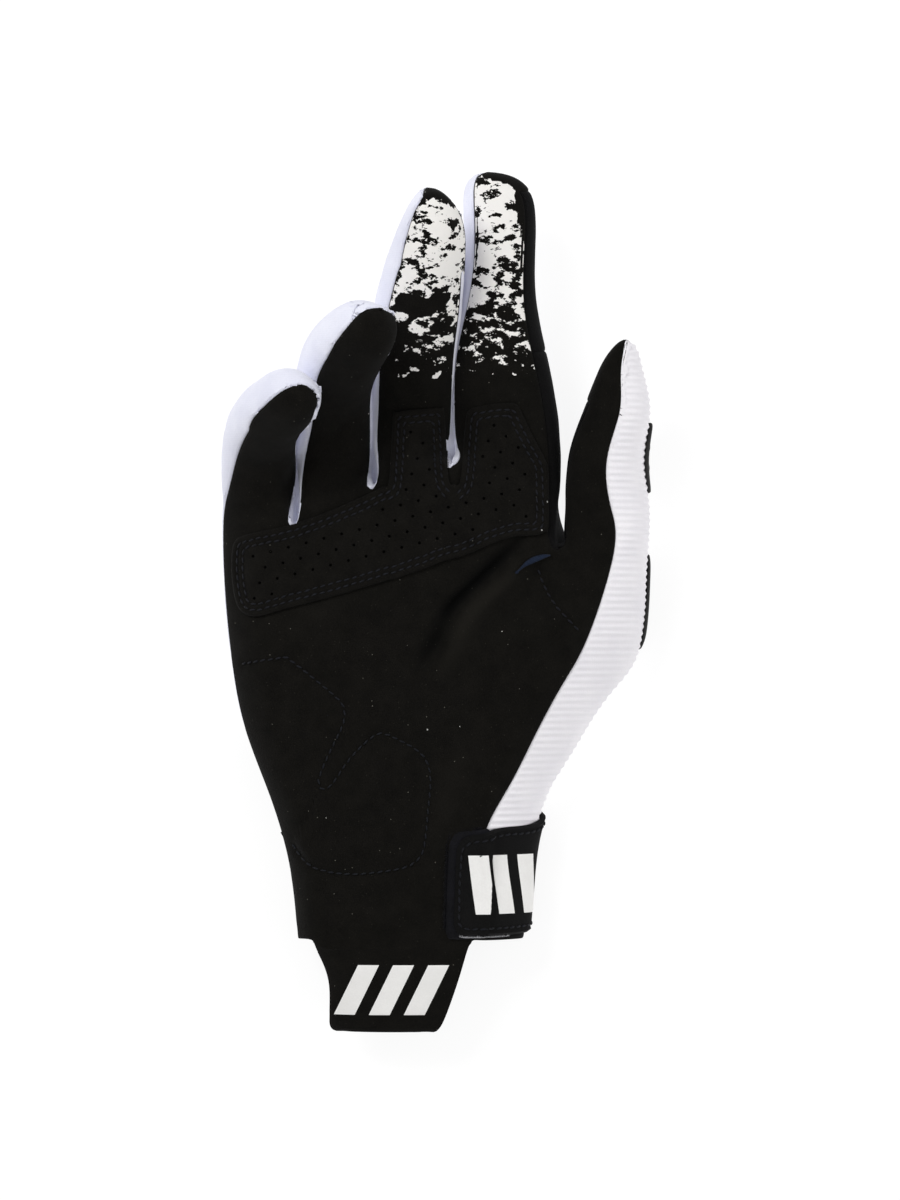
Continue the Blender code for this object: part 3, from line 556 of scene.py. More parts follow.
# Detail lines on the palm, in millimetres from the middle of the knuckle row and the cuff's edge
HEEL_LINE = (
    (-53.5, 78.9), (-43.8, 80.4), (-41.4, 80.6), (-33.9, 75.0), (-26.4, 68.6), (-24.8, 65.4),
    (-25.4, 61.2), (-29.4, 52.8), (-32.0, 46.2), (-31.4, 43.4), (-28.4, 44.6), (-22.6, 52.6),
    (-15.4, 58.8), (-9.4, 57.2), (-3.2, 53.4), (-1.0, 49.8), (-0.4, 45.4), (-1.2, 36.0),
    (-2.4, 26.0), (-5.2, 22.2), (-9.8, 20.4), (-22.4, 19.0), (-31.2, 20.0), (-36.0, 22.4),
    (-39.2, 26.6),
)
HEEL_PAD = HEEL_LINE[9:]
THUMB_LINE = ((30.5, 105.0), (32.5, 100.0), (35.5, 95.0), (41.0, 89.0))
LINE_STEP = 0.9 * MM
FOLD_EDGE = ((23.8, 104.6), (27.0, 107.6), (31.0, 109.2), (33.6, 109.6))
# Specks of lint: x, y and size
LINT = (
    (6.6, 122.3, 0.9), (-18.0, 150.0, 0.35), (20.0, 88.0, 0.35), (-30.0, 35.0, 0.3), (8.0, 61.0, 0.3),
)

# Stitches
STITCH_LENGTH = 2.0 * MM
STITCH_PITCH = 2.35 * MM
THREAD = 0.62 * MM
STITCH_DIP = 0.6 * MM
STITCH_DIP_REACH = 1.1 * MM
STITCH_TWIST = 0.22  # most turn of a stitch out of its row, in radians

# Palm patch
PATCH_RISE = 1.15 * MM
PATCH_EDGE = 0.7 * MM  # rounding of its edge
PATCH_ROWS = (1.8 * MM, 3.5 * MM)  # stitch rows, from its edge inwards
PATCH_GAP = 0.12 * MM
HOLE_PITCH = 5.2 * MM
HOLE_SIZE = 0.85 * MM
HOLE_MARGIN = 5.0 * MM
HOLE_TURN = math.radians(14)
HOLE_CORNERS = 10
HOLE_GRID = range(-30, 31)
HOLE_MIDDLE = 110 * MM  # where the middle of the holes' grid lies, along the glove
# Depths inside the patch's edge that carry a row of points, in millimetres
PATCH_DEPTHS = (0.22, 0.55, 1.2, 1.8, 2.4, 2.95, 3.5, 4.1)
PATCH_GRID = 1.5 * MM
PATCH_GRID_MARGIN = 4.6 * MM

# Ribs of the thumb's cloth
RIB_PITCH = 1.9 * MM
RIB_RISE = 0.42 * MM
RIB_CUTS = 4  # rows of points in one rib


def spline(a, b, c, d, t):
    """A place part of the way from b to c on a smooth curve through a, b, c and d."""
    return 0.5 * (2 * b + (c - a) * t + (2 * a - 5 * b + 4 * c - d) * t * t
                  + (3 * b - a - 3 * c + d) * t ** 3)


def smooth_line(points, step, closed=False):
    """Points every step along a smooth curve through the given ones."""
    count = len(points)
    spans = count if closed else count - 1
    dense = []
    for n in range(spans):
        a, b, c, d = (
            Vector(points[(n + k) % count] if closed else points[min(max(n + k, 0), count - 1)])
            for k in (-1, 0, 1, 2)
        )
        dense += [spline(a, b, c, d, k / 12) for k in range(12)]
    dense.append(Vector(points[0] if closed else points[-1]))
    return even_line(dense, step)


def flat_curve(places, step):
    """Points every step along a smooth curve through flat places given in millimetres."""
    return smooth_line([(x * MM, y * MM, 0.0) for x, y in places], step)


def even_line(points, step):
    """Points at even steps along a chain of straight lines."""
    lengths = [(b - a).length for a, b in zip(points, points[1:])]
    total = sum(lengths)
    count = max(2, round(total / step))
    result, run, k = [], 0.0, 0
    for n in range(count + 1):
        goal = total * n / count
        while k < len(lengths) - 1 and run + lengths[k] < goal:
            run += lengths[k]
            k += 1
        share = min(max((goal - run) / max(lengths[k], 1e-9), 0.0), 1.0)
        result.append(points[k].lerp(points[k + 1], share))
    return result


def rounding(away, reach):
    """Height of a quarter round at a distance from its edge: 0 at the edge, 1 from reach on."""
    share = min(1.0, away / reach)
    return math.sqrt(max(0.0, 1 - (1 - share) ** 2))


def groove(away, middle, width):
    """Depth of a soft groove: 1 in its middle."""
    return math.exp(-((away - middle) / width) ** 2)


def grid_faces(rows, columns, first=0):
    """The faces of a grid of points."""
    starts = (first + r * columns + c for r in range(rows - 1) for c in range(columns - 1))
    return [(a, a + columns, a + columns + 1, a + 1) for a in starts]


def facing_faces(faces, points, way):
    """The faces turned so that the first one faces a given way."""
    a, b, c = (points[i] for i in faces[0][:3])
    if (b - a).cross(c - a).dot(way) < 0:
        return [tuple(reversed(f)) for f in faces]
    return faces


def closed_mesh(name, outer, inner, faces):
    """A closed mesh with outer and inner points, each with the same faces, joined at their edge."""
    count = len(outer)
    used = {(a, b) for f in faces for a, b in zip(f, f[1:] + f[:1])}
    walls = faces + [tuple(count + i for i in reversed(f)) for f in faces]
    walls += [(b, a, count + a, count + b) for a, b in sorted(used) if (b, a) not in used]
    mesh = bpy.data.meshes.new(name)
    mesh.from_pydata([tuple(p) for p in outer + inner], [], walls)
    mesh.validate()
    return mesh


def tree_of_points(points):
    tree = kdtree.KDTree(len(points))
    for n, place in enumerate(points):
        tree.insert(place, n)
    tree.balance()
    return tree


def onto_palm(tree, x, y):
    """The place straight under a point of the palm, and the form's direction there."""
    start, down = Vector((x, y, RAY_START)), Vector((0, 0, -1))
    hit, normal, _, _ = tree.ray_cast(start, down)
    bare, way, _, _ = FINE.tree.ray_cast(start, down)
    if hit is None or (bare is not None and hit.z < bare.z - 3 * MM):
        return bare, way
    return hit, normal


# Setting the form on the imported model

def top_of(mesh, panel, axis, highest):
    number = PANELS.index(panel)
    values = [mesh.vertices[i].co[axis] for p in mesh.polygons if p.material_index == number
              for i in p.vertices]
    return max(values) if highest else min(values)


def find_shift():
    """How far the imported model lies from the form's own frame."""
    plain = smooth_surface(hand_cage(), 1)
    shape_surface(plain)
    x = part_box("thumb_back_panel")[1].x - top_of(plain, "thumb_back_panel", 0, True)
    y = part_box("palm_panel")[1].y - top_of(plain, "palm_panel", 1, True)
    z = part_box("back_panel")[0].z - top_of(plain, "back_panel", 2, False)
    bpy.data.meshes.remove(plain)
    return Vector((x, y, z))


SHIFT = find_shift()
print("form shift in mm", [round(v / MM, 3) for v in SHIFT])


def add_piece(name, mesh, finish, nodes=(), smooth=True):
    """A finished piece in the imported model's place, riding on its body."""
    mesh.transform(Matrix.Translation(SHIFT))
    mesh.materials.clear()
    mesh.materials.append(finish)
    if smooth:
        mesh.shade_smooth()
    obj = bpy.data.objects.new(name, mesh)
    bpy.context.scene.collection.objects.link(obj)
    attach(obj, "root")
    if nodes:
        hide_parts(*nodes)
    return obj


# Finishes

def set_node(node, settings):
    for key, value in settings.items():
        if hasattr(node, key):
            setattr(node, key, value)
        else:
            node.inputs[key].default_value = value


class Finish:
    """A material and its node tree."""

    def __init__(self, name, roughness, sheen=0.0, sheen_tint=(1.0, 1.0, 1.0), specular=0.3):
        self.made = bpy.data.materials.new(name)
        self.made.use_nodes = True
        self.tree = self.made.node_tree
        self.shader = self.tree.nodes["Principled BSDF"]
        self.set("Roughness", roughness)
        self.set("Sheen Weight", sheen)
        self.set("Sheen Roughness", 0.5)
        self.set("Sheen Tint", (*sheen_tint, 1.0))
        self.set("Specular IOR Level", specular)
        self.place = self.node("ShaderNodeTexCoord").outputs["Object"]

    def set(self, socket, value):
        self.shader.inputs[socket].default_value = value

    def node(self, kind, links=(), **settings):
        made = self.tree.nodes.new(kind)
        set_node(made, {key.replace("_", " ") if not hasattr(made, key) else key: value
                        for key, value in settings.items()})
        for socket, source in dict(links).items():
            self.tree.links.new(source, made.inputs[socket])
        return made

    def noise(self, size, detail, rough, place=None):
        """Noise whose marks are about the given size in metres."""
        made = self.node("ShaderNodeTexNoise", {"Vector": place or self.place}, Scale=1 / size,
                         Detail=detail, Roughness=rough)
        return made.outputs["Fac"]

    def attribute(self, name):
        return self.node("ShaderNodeAttribute", attribute_name=name).outputs["Fac"]

    def ramp(self, value, stops):
        made = self.node("ShaderNodeValToRGB", {"Fac": value})
        ramp = made.color_ramp
        while len(ramp.elements) < len(stops):
            ramp.elements.new(0.5)
        for element, (at, colour) in zip(ramp.elements, stops):
            element.position = at
            element.color = (*colour, 1.0)
        return made.outputs["Color"]

    def step(self, value, low, high, start=0.0, end=1.0):
        made = self.node("ShaderNodeMapRange", {"Value": value}, interpolation_type="SMOOTHSTEP")
        for socket, number in (("From Min", low), ("From Max", high), ("To Min", start), ("To Max", end)):
            made.inputs[socket].default_value = number
        return made.outputs[0]

    def math(self, operation, a, b):
        made = self.node("ShaderNodeMath", operation=operation)
        for number, value in enumerate((a, b)):
            if isinstance(value, (int, float)):
                made.inputs[number].default_value = value
            else:
                self.tree.links.new(value, made.inputs[number])
        return made.outputs[0]

    def mix(self, share, a, b):
        """Colour a where share is 0 and b where it is 1."""
        made = self.node("ShaderNodeMix", data_type="RGBA")
        for socket, value in ((made.inputs[0], share), (made.inputs[6], a), (made.inputs[7], b)):
            if isinstance(value, tuple):
                socket.default_value = (*value, 1.0)
            elif isinstance(value, (int, float)):
                socket.default_value = value
            else:
                self.tree.links.new(value, socket)
        return made.outputs[2]

    def colour(self, source):
        self.tree.links.new(source, self.shader.inputs["Base Color"])

    def rough(self, source):
        self.tree.links.new(source, self.shader.inputs["Roughness"])

    def bump(self, *layers):
        """Bump from (height source, depth in metres, strength) layers."""
        before = None
        for source, depth, strength in layers:
            links = {"Height": source}
            if before:
                links["Normal"] = before
            before = self.node("ShaderNodeBump", links, Strength=strength, Distance=depth).outputs[0]
        self.tree.links.new(before, self.shader.inputs["Normal"])


def specks(finish, cell, size, share):
    """Sparse tiny specks: 1 on a speck."""
    cells = finish.node("ShaderNodeTexVoronoi", {"Vector": finish.place}, Scale=1 / cell)
    near = finish.step(cells.outputs["Distance"], size * 0.6, size, 1.0, 0.0)
    parts = finish.node("ShaderNodeSeparateColor", {"Color": cells.outputs["Color"]})
    chosen = finish.step(parts.outputs[0], 1 - share, 1 - share + 0.002)
    return finish.math("MULTIPLY", near, chosen)


def suede_finish(name, dark, light, printed=False):
    """Napped black suede with pale specks, painted shade in the crease valleys and a painted highlight on
    their ridges, and the speckled ink where it is printed.
    """
    made = Finish(name, 0.95, 0.035, (0.75, 0.75, 0.78), 0.08)
    fibre = made.noise(0.32 * MM, 4.0, 0.75)
    nap = made.noise(5.0 * MM, 3.0, 0.55)
    shade = made.math("ADD", made.math("MULTIPLY", fibre, 0.7), made.math("MULTIPLY", nap, 0.3))
    base = made.ramp(shade, ((0.36, dark), (0.64, light)))
    painted_crease_shading = made.attribute("painted_crease_shading")
    # Painted shade: the valleys of the creases are darkened to near-black.
    base = made.mix(made.step(painted_crease_shading, 0.0, 1.0), base, (0.0006, 0.0006, 0.0005))
    # Painted highlight: the ridges and mounds beside the creases are lightened.
    base = made.mix(made.step(painted_crease_shading, 0.0, -1.0, 0.0, 0.85), base, tuple(1.45 * c for c in light))
    base = made.mix(specks(made, 1.3 * MM, 0.10, 0.45), base, (0.030, 0.028, 0.022))
    base = made.mix(specks(made, 2.6 * MM, 0.075, 0.35), base, (0.10, 0.095, 0.08))
    base = made.mix(specks(made, 11.0 * MM, 0.028, 0.4), base, (0.42, 0.42, 0.40))
    layers = [(fibre, 0.22 * MM, 0.55), (nap, 0.5 * MM, 0.25)]
    if printed:
        turned = made.node("ShaderNodeMapping", {"Vector": made.place}, Rotation=(0.0, 0.0, 0.6),
                           Scale=(0.8, 1.35, 1.0)).outputs[0]
        blobs = made.noise(3.6 * MM, 4.0, 0.66, place=turned)
        value = made.math("ADD", blobs, made.math("MULTIPLY", made.attribute("print_amount"), 0.62))
        ink = made.step(value, 0.985, 1.0)
        base = made.mix(ink, base, (0.91, 0.89, 0.86))
        made.rough(made.step(ink, 0.0, 1.0, 0.92, 0.55))
        layers.append((ink, 0.25 * MM, 0.5))
    made.colour(base)
    made.bump(*layers)
    return made.made


def knit_finish(name, shade, light, wale=0.62 * MM):
    """Fine stretch knit: short loops in rows."""
    made = Finish(name, 0.88, 0.25, (0.95, 0.95, 1.0), 0.25)
    loops = made.node("ShaderNodeTexVoronoi", {"Vector": made.node(
        "ShaderNodeMapping", {"Vector": made.place}, Scale=(1.5, 1.0, 1.2)).outputs[0]},
        Scale=1 / wale, Randomness=0.35).outputs["Distance"]
    cloud = made.noise(9.0 * MM, 3.0, 0.5)
    fibre = made.noise(0.25 * MM, 3.0, 0.7)
    base = made.ramp(cloud, ((0.3, shade), (0.7, light)))
    base = made.mix(made.step(loops, 0.35, 0.75, 0.0, 0.14), base, tuple(0.72 * c for c in shade))
    made.colour(base)
    made.bump((loops, 0.18 * MM, 0.35), (fibre, 0.08 * MM, 0.3))
    return made.made


def plain_finish(name, dark, light, size, roughness, sheen, depth, specular):
    """One dark cloth or rubber with a fine grain."""
    made = Finish(name, roughness, sheen, (0.8, 0.8, 0.85), specular)
    grain = made.noise(size, 4.0, 0.65)
    wear = made.noise(12 * size, 3.0, 0.55)
    made.colour(made.ramp(made.math("ADD", made.math("MULTIPLY", grain, 0.6),
                                    made.math("MULTIPLY", wear, 0.4)), ((0.35, dark), (0.65, light))))
    made.rough(made.step(wear, 0.3, 0.7, roughness - 0.08, roughness + 0.05))
    made.bump((grain, depth, 0.5))
    return made.made


SUEDE = suede_finish("black_suede", (0.0022, 0.0020, 0.0015), (0.0078, 0.0070, 0.0056), printed=True)
PATCH_SUEDE = suede_finish("black_patch_suede", (0.0024, 0.0021, 0.0017), (0.0086, 0.0078, 0.0064))
KNIT = knit_finish("white_stretch_knit", (0.77, 0.78, 0.90), (0.86, 0.87, 0.97))
RIBBED = knit_finish("white_ribbed_cloth", (0.90, 0.88, 0.92), (0.96, 0.94, 0.97), 0.5 * MM)
STRETCH = plain_finish("black_stretch_cloth", (0.0022, 0.0021, 0.0022), (0.0070, 0.0068, 0.0070),
                       0.5 * MM, 0.9, 0.03, 0.2 * MM, 0.06)
NEOPRENE = plain_finish("black_laminated_cloth", (0.0026, 0.0026, 0.0026), (0.0072, 0.0070, 0.0070),
                        0.45 * MM, 0.85, 0.03, 0.15 * MM, 0.08)
HOOK = plain_finish("black_hook_tape", (0.0022, 0.0022, 0.0026), (0.0095, 0.0095, 0.0125),
                    0.35 * MM, 0.9, 0.05, 0.3 * MM, 0.1)
RUBBER = plain_finish("black_moulded_rubber", (0.003, 0.003, 0.003), (0.007, 0.007, 0.007),
                      0.8 * MM, 0.55, 0.0, 0.05 * MM, 0.22)
THREAD_FINISH = plain_finish("black_thread", (0.0014, 0.0017, 0.0030), (0.0062, 0.0070, 0.0118),
                             0.2 * MM, 0.65, 0.04, 0.1 * MM, 0.2)
NAVY = plain_finish("dark_blue_cloth", (0.006, 0.010, 0.022), (0.014, 0.022, 0.045),
                    0.4 * MM, 0.85, 0.05, 0.1 * MM, 0.1)
LINT_FINISH = plain_finish("white_lint", (0.45, 0.44, 0.40), (0.75, 0.74, 0.70),
                           0.3 * MM, 0.9, 0.1, 0.1 * MM, 0.1)
FLUFF = plain_finish("pale_fluff", (0.40, 0.40, 0.42), (0.75, 0.75, 0.78),
                     0.3 * MM, 0.9, 0.1, 0.05 * MM, 0.1)


def print_finish():
    """Off-white ink: the mark on the strap and the pull tab."""
    made = Finish("off_white_ink", 0.55, 0.0, (1, 1, 1), 0.35)
    grain = made.noise(0.5 * MM, 4.0, 0.6)
    wear = made.noise(6.0 * MM, 3.0, 0.5)
    made.colour(made.ramp(made.math("MULTIPLY", grain, wear),
                          ((0.1, (0.86, 0.85, 0.83)), (0.35, (0.92, 0.91, 0.89)))))
    made.bump((grain, 0.03 * MM, 0.3))
    return made.made


INK = print_finish()


# Repeated details, as node trees

class Maker:
    """A geometry node tree with named inputs, run once on a mesh."""

    def __init__(self, name, inputs):
        self.tree = bpy.data.node_groups.new(name, "GeometryNodeTree")
        face = self.tree.interface
        face.new_socket("Geometry", in_out="INPUT", socket_type="NodeSocketGeometry")
        for label, kind in inputs.items():
            face.new_socket(label, in_out="INPUT", socket_type="NodeSocket" + kind)
        face.new_socket("Geometry", in_out="OUTPUT", socket_type="NodeSocketGeometry")
        self.source = self.tree.nodes.new("NodeGroupInput").outputs
        self.result = self.tree.nodes.new("NodeGroupOutput").inputs

    def node(self, kind, links=(), **settings):
        made = self.tree.nodes.new(kind)
        set_node(made, settings)
        for socket, source in dict(links).items():
            if hasattr(source, "is_output"):
                self.tree.links.new(source, made.inputs[socket])
            else:
                made.inputs[socket].default_value = source
        return made

    def finish(self, geometry):
        """Ends the tree: real geometry with its material."""
        real = self.node("GeometryNodeRealizeInstances", {"Geometry": geometry})
        coloured = self.node("GeometryNodeSetMaterial", {
            "Geometry": real.outputs[0], "Material": self.source["Material"]})
        self.tree.links.new(coloured.outputs[0], self.result["Geometry"])

    def run(self, mesh, **values):
        """The tree's result on a mesh, as a plain mesh."""
        guide = bpy.data.objects.new("guide", mesh)
        bpy.context.scene.collection.objects.link(guide)
        modifier = guide.modifiers.new("maker", "NODES")
        modifier.node_group = self.tree
        for item in self.tree.interface.items_tree:
            if item.in_out == "INPUT" and item.name in values:
                modifier[item.identifier] = values[item.name]
        made = evaluated_mesh(guide)
        bpy.data.objects.remove(guide)
        return made


def stitch_maker():
    """Thread stitches along lines. Each point of a line has the way that it faces."""
    maker = Maker("stitch_row", {"Pitch": "Float", "Length": "Float", "Thread": "Float",
                                 "Twist": "Float", "Seed": "Int", "Material": "Material"})
    line = maker.node("GeometryNodeMeshToCurve", {"Mesh": maker.source["Geometry"]})
    even = maker.node("GeometryNodeResampleCurve", {
        "Curve": line.outputs[0], "Length": maker.source["Pitch"]}, mode="LENGTH")
    thread = maker.node("GeometryNodeMeshUVSphere", Segments=6, Rings=6, Radius=0.5)
    size = maker.node("ShaderNodeCombineXYZ", {
        "X": maker.source["Length"], "Y": maker.source["Thread"], "Z": maker.source["Thread"]})
    shaped = maker.node("GeometryNodeTransform", {
        "Geometry": thread.outputs["Mesh"], "Scale": size.outputs[0]})
    facing = maker.node("GeometryNodeInputNamedAttribute", data_type="FLOAT_VECTOR", Name="facing")
    along = maker.node("FunctionNodeAlignRotationToVector", {
        "Vector": maker.node("GeometryNodeInputTangent").outputs[0]}, axis="X")
    up = maker.node("FunctionNodeAlignRotationToVector", {
        "Rotation": along.outputs[0], "Vector": facing.outputs["Attribute"]}, axis="Z", pivot_axis="X")
    low = maker.node("ShaderNodeMath", {0: maker.source["Twist"], 1: 0.4}, operation="MULTIPLY")
    turn = maker.node("FunctionNodeRandomValue", {
        "Min": low.outputs[0], "Max": maker.source["Twist"], "Seed": maker.source["Seed"]})
    axis = maker.node("FunctionNodeAxisAngleToRotation", {"Axis": (0.0, 0.0, 1.0), "Angle": turn.outputs[1]})
    lean = maker.node("FunctionNodeRotateRotation", {
        "Rotation": up.outputs[0], "Rotate By": axis.outputs[0]}, rotation_space="LOCAL")
    rows = maker.node("GeometryNodeInstanceOnPoints", {
        "Points": even.outputs[0], "Instance": shaped.outputs[0], "Rotation": lean.outputs[0]})
    maker.finish(rows.outputs[0])
    return maker


STITCHES = stitch_maker()


def stitch_rows(name, lines, seed):
    """Stitches along lines of (place, facing) points."""
    points, edges, facing = [], [], []
    for line in lines:
        first = len(points)
        points += [tuple(place + way * THREAD * 0.22) for place, way in line]
        facing += [tuple(way) for _, way in line]
        edges += [(first + n, first + n + 1) for n in range(len(line) - 1)]
    guide = bpy.data.meshes.new(name)
    guide.from_pydata(points, edges, [])
    ways = guide.attributes.new("facing", "FLOAT_VECTOR", "POINT")
    ways.data.foreach_set("vector", [v for way in facing for v in way])
    mesh = STITCHES.run(guide, Pitch=STITCH_PITCH, Length=STITCH_LENGTH, Thread=THREAD,
                        Twist=STITCH_TWIST, Seed=seed, Material=THREAD_FINISH)
    return add_piece(name, mesh, THREAD_FINISH)


# Panels

def detail_lines():
    """Stitched lines on the palm as even points, flat."""
    return [flat_curve(line, LINE_STEP) for line in (HEEL_LINE, THUMB_LINE)]


def inside(x, y, outline):
    """Whether a flat place lies inside a closed outline."""
    hits = False
    for (ax, ay), (bx, by) in zip(outline, outline[1:] + outline[:1]):
        if (ay > y) != (by > y) and x < ax + (bx - ax) * (y - ay) / (by - ay):
            hits = not hits
    return hits


def palm_detail(place):
    """How far the palm's cloth is moved out at a place: stitched grooves and the heel's pad."""
    away = LINE_TREE.find(Vector((place.x, place.y, 0.0)))[2]
    out = -STITCH_DIP * groove(away, 0.0, STITCH_DIP_REACH)
    if inside(place.x, place.y, PAD_OUTLINE):
        out += PAD_RISE * min(1.0, away / PAD_SLOPE) ** 0.6
    return out


WRINKLES = (
    # x, y, heading in degrees, length, width and depth, in millimetres
    (25.5, 114.5, 224, 31, 2.0, 2.8),
    (8.0, 98.0, 240, 24, 2.6, 2.2),
    (29.0, 109.5, 224, 31, 3.2, -1.8),
    (12.5, 94.0, 240, 22, 3.8, -1.4),
    (12.0, 62.0, 250, 40, 7.0, -1.0),
    (-20.0, 100.0, 205, 34, 8.0, -0.8),
    (20.0, 103.0, 216, 30, 3.0, -0.6),
    (30.0, 96.0, 240, 30, 2.0, 0.5),
    (6.0, 66.0, 235, 30, 3.2, 0.5),
    (-43.0, 127.0, 60, 14, 1.6, 0.5),
    (-39.0, 124.0, 70, 12, 1.4, 0.4),
    (-30.0, 140.0, 50, 16, 1.8, 0.4),
    (8.0, 150.0, 80, 10, 2.0, 0.3),
    (38.0, 46.0, 205, 9, 1.8, 0.7),
    (35.0, 42.0, 200, 9, 1.6, 0.6),
    (33.5, 38.5, 195, 8, 1.5, 0.5),
)


def wrinkle_depth(place):
    """Depth of the small creases at a place, seen from above."""
    total = 0.0
    for x, y, heading, length, width, depth in WRINKLES:
        turn = math.radians(heading)
        away = Vector((place.x - x * MM, place.y - y * MM))
        along = away.x * math.cos(turn) + away.y * math.sin(turn)
        across = -away.x * math.sin(turn) + away.y * math.cos(turn)
        share = along / (length * MM)
        if -0.15 < share < 1.15:
            fade = math.sin(math.pi * min(max((share + 0.15) / 1.3, 0.0), 1.0))
            total += depth * MM * fade * math.exp(-(across / (width * MM)) ** 2)
    return total


def soft_waves(place, size, seed):
    return noise.noise(Vector((place.x + seed, place.y, place.z)) / size)


# Where the suede ends round on three fingertips, in millimetres, seen from above
TipEnd = namedtuple("TipEnd", "low_y low_z low_x high_x outline")
TIP_ENDS = (
    TipEnd(143.6, 30.0, -62.0, -29.0, (
        (-51.8, 143.6), (-50.2, 147.6), (-45.4, 152.3), (-41.5, 155.3), (-38.1, 156.7), (-35.3, 157.0),
        (-33.1, 155.6), (-32.0, 153.9), (-31.7, 152.0), (-33.4, 147.6), (-35.3, 143.6))),
    TipEnd(162.4, 36.0, -42.0, -2.0, (
        (-30.4, 162.4), (-27.0, 168.5), (-23.6, 172.9), (-20.2, 176.6), (-16.9, 178.1), (-13.5, 178.0),
        (-10.3, 176.3), (-8.4, 173.5), (-7.8, 170.7), (-8.4, 166.8), (-10.4, 164.6), (-12.2, 162.4))),
    TipEnd(189.5, 20.0, -16.0, 12.5, (
        (-9.1, 189.5), (-8.0, 195.1), (-6.6, 200.7), (-4.9, 205.7), (-2.9, 209.1), (-2.1, 211.9),
        (-1.2, 214.7), (10.2, 214.7), (10.2, 189.5))),
)
TIP_SNAP = 2.2 * MM  # farthest that a point is moved sideways onto the outline
TIP_DROP = 5 * MM  # farthest that it may move up or down with that
TIP_ROUNDS = 4


def round_ends(form):
    """Gives the suede of the fingertips a round end inside the knit's rim."""
    palm, back = PANELS.index("palm_panel"), PANELS.index("back_panel")
    for end in TIP_ENDS:
        line = flat_curve(end.outline, 0.3 * MM)
        flat = [tuple(p.to_2d()) for p in line]
        near = tree_of_points(line)
        spots, around = {}, {}
        for n, face in enumerate(form.faces):
            spot = sum((form.points[i] for i in face), Vector()) / len(face)
            if (spot.y > end.low_y * MM and spot.z > end.low_z * MM
                    and end.low_x * MM < spot.x < end.high_x * MM):
                spots[n] = spot
                for i in face:
                    around.setdefault(i, []).append(n)
        first = max((n for n in spots if inside(spots[n].x, spots[n].y, flat)), key=lambda n: spots[n].z)
        zone, front = {first}, [first]
        while front:
            fresh = {k for i in form.faces[front.pop()] for k in around[i]} - zone
            zone |= fresh
            front += sorted(fresh)
        for n in zone:
            facing = sum(form.normals[i].z for i in form.faces[n]) > 0.0
            if facing and inside(spots[n].x, spots[n].y, flat):
                form.panels[n] = palm
            elif form.panels[n] == palm:
                form.panels[n] = back
        kinds = {}
        for n, face in enumerate(form.faces):
            for i in face:
                kinds.setdefault(i, set()).add((form.panels[n] == palm, n in zone))
        for i, found in kinds.items():
            inner = all(in_zone for _, in_zone in found)
            if inner and len({is_palm for is_palm, _ in found}) == 2 and form.normals[i].z > 0.05:
                place = form.points[i]
                goal, _, away = near.find(Vector((place.x, place.y, 0.0)))
                if away < TIP_SNAP:
                    hit = form.tree.ray_cast(Vector((goal.x, goal.y, RAY_START)), Vector((0, 0, -1)))[0]
                    if hit and abs(hit.z - place.z) < TIP_DROP:
                        form.points[i] = hit
        sides = {}
        for n in zone:
            face = form.faces[n]
            for a, b in zip(face, face[1:] + face[:1]):
                sides.setdefault((min(a, b), max(a, b)), []).append(form.panels[n] == palm)
        chain = {}
        for (a, b), kind in sides.items():
            if len(set(kind)) == 2:
                chain.setdefault(a, []).append(b)
                chain.setdefault(b, []).append(a)
        for _ in range(TIP_ROUNDS):
            moved = {i: form.points[i].lerp(sum((form.points[k] for k in near_ones), Vector()) / 2, 0.5)
                     for i, near_ones in chain.items() if len(near_ones) == 2 and form.normals[i].z < 0.3}
            for i, place in moved.items():
                form.points[i] = place


class Form:
    """A smooth hand form: its points, directions, faces and panels."""

    def __init__(self, level):
        mesh = smooth_surface(hand_cage(), level)
        shape_surface(mesh)
        self.points = [v.co.copy() for v in mesh.vertices]
        self.normals = [v.normal.copy() for v in mesh.vertices]
        self.faces = [tuple(p.vertices) for p in mesh.polygons]
        self.panels = [p.material_index for p in mesh.polygons]
        self.tree = BVHTree.FromPolygons(self.points, self.faces)
        bpy.data.meshes.remove(mesh)
        round_ends(self)


def panel_sheet(form, name):
    """The cut panel as a bmesh of its own."""
    number = PANELS.index(name)
    sheet = bmesh.new()
    made = {}
    for face, panel in zip(form.faces, form.panels):
        if panel != number:
            continue
        for i in face:
            if i not in made:
                made[i] = sheet.verts.new(form.points[i])
        sheet.faces.new([made[i] for i in face])
    sheet.normal_update()
    return sheet


def refine(sheet, fine_tree, wanted):
    """Splits the faces that are wanted once, with the new points on the smooth form."""
    old = set(sheet.verts)
    chosen = [f for f in sheet.faces if wanted(f.calc_center_median())]
    edges = list({e for f in chosen for e in f.edges})
    bmesh.ops.subdivide_edges(sheet, edges=edges, cuts=1, use_grid_fill=True)
    for v in sheet.verts:
        if v not in old and not v.is_boundary:
            v.co = fine_tree.find_nearest(v.co)[0]
    sheet.normal_update()


def slice_sheet(sheet, low, high, step):
    """Cuts a sheet along level lines, so that its points lie on rows step apart."""
    for n in range(1, int((high - low) / step)):
        y = low + n * step
        near = [f for f in sheet.faces
                if min(v.co.y for v in f.verts) < y < max(v.co.y for v in f.verts)]
        if not near:
            continue
        geom = near + list({e for f in near for e in f.edges}) + list({v for f in near for v in f.verts})
        bmesh.ops.bisect_plane(sheet, geom=geom, dist=step * 0.12, plane_co=(0, y, 0), plane_no=(0, 1, 0))
    sheet.normal_update()


def edge_tree(sheet):
    """Places along a sheet's open edges."""
    spots = []
    for edge in sheet.edges:
        if edge.is_boundary:
            a, b = (v.co for v in edge.verts)
            spots += [a.lerp(b, k / 4) for k in range(4)]
    return tree_of_points(spots)


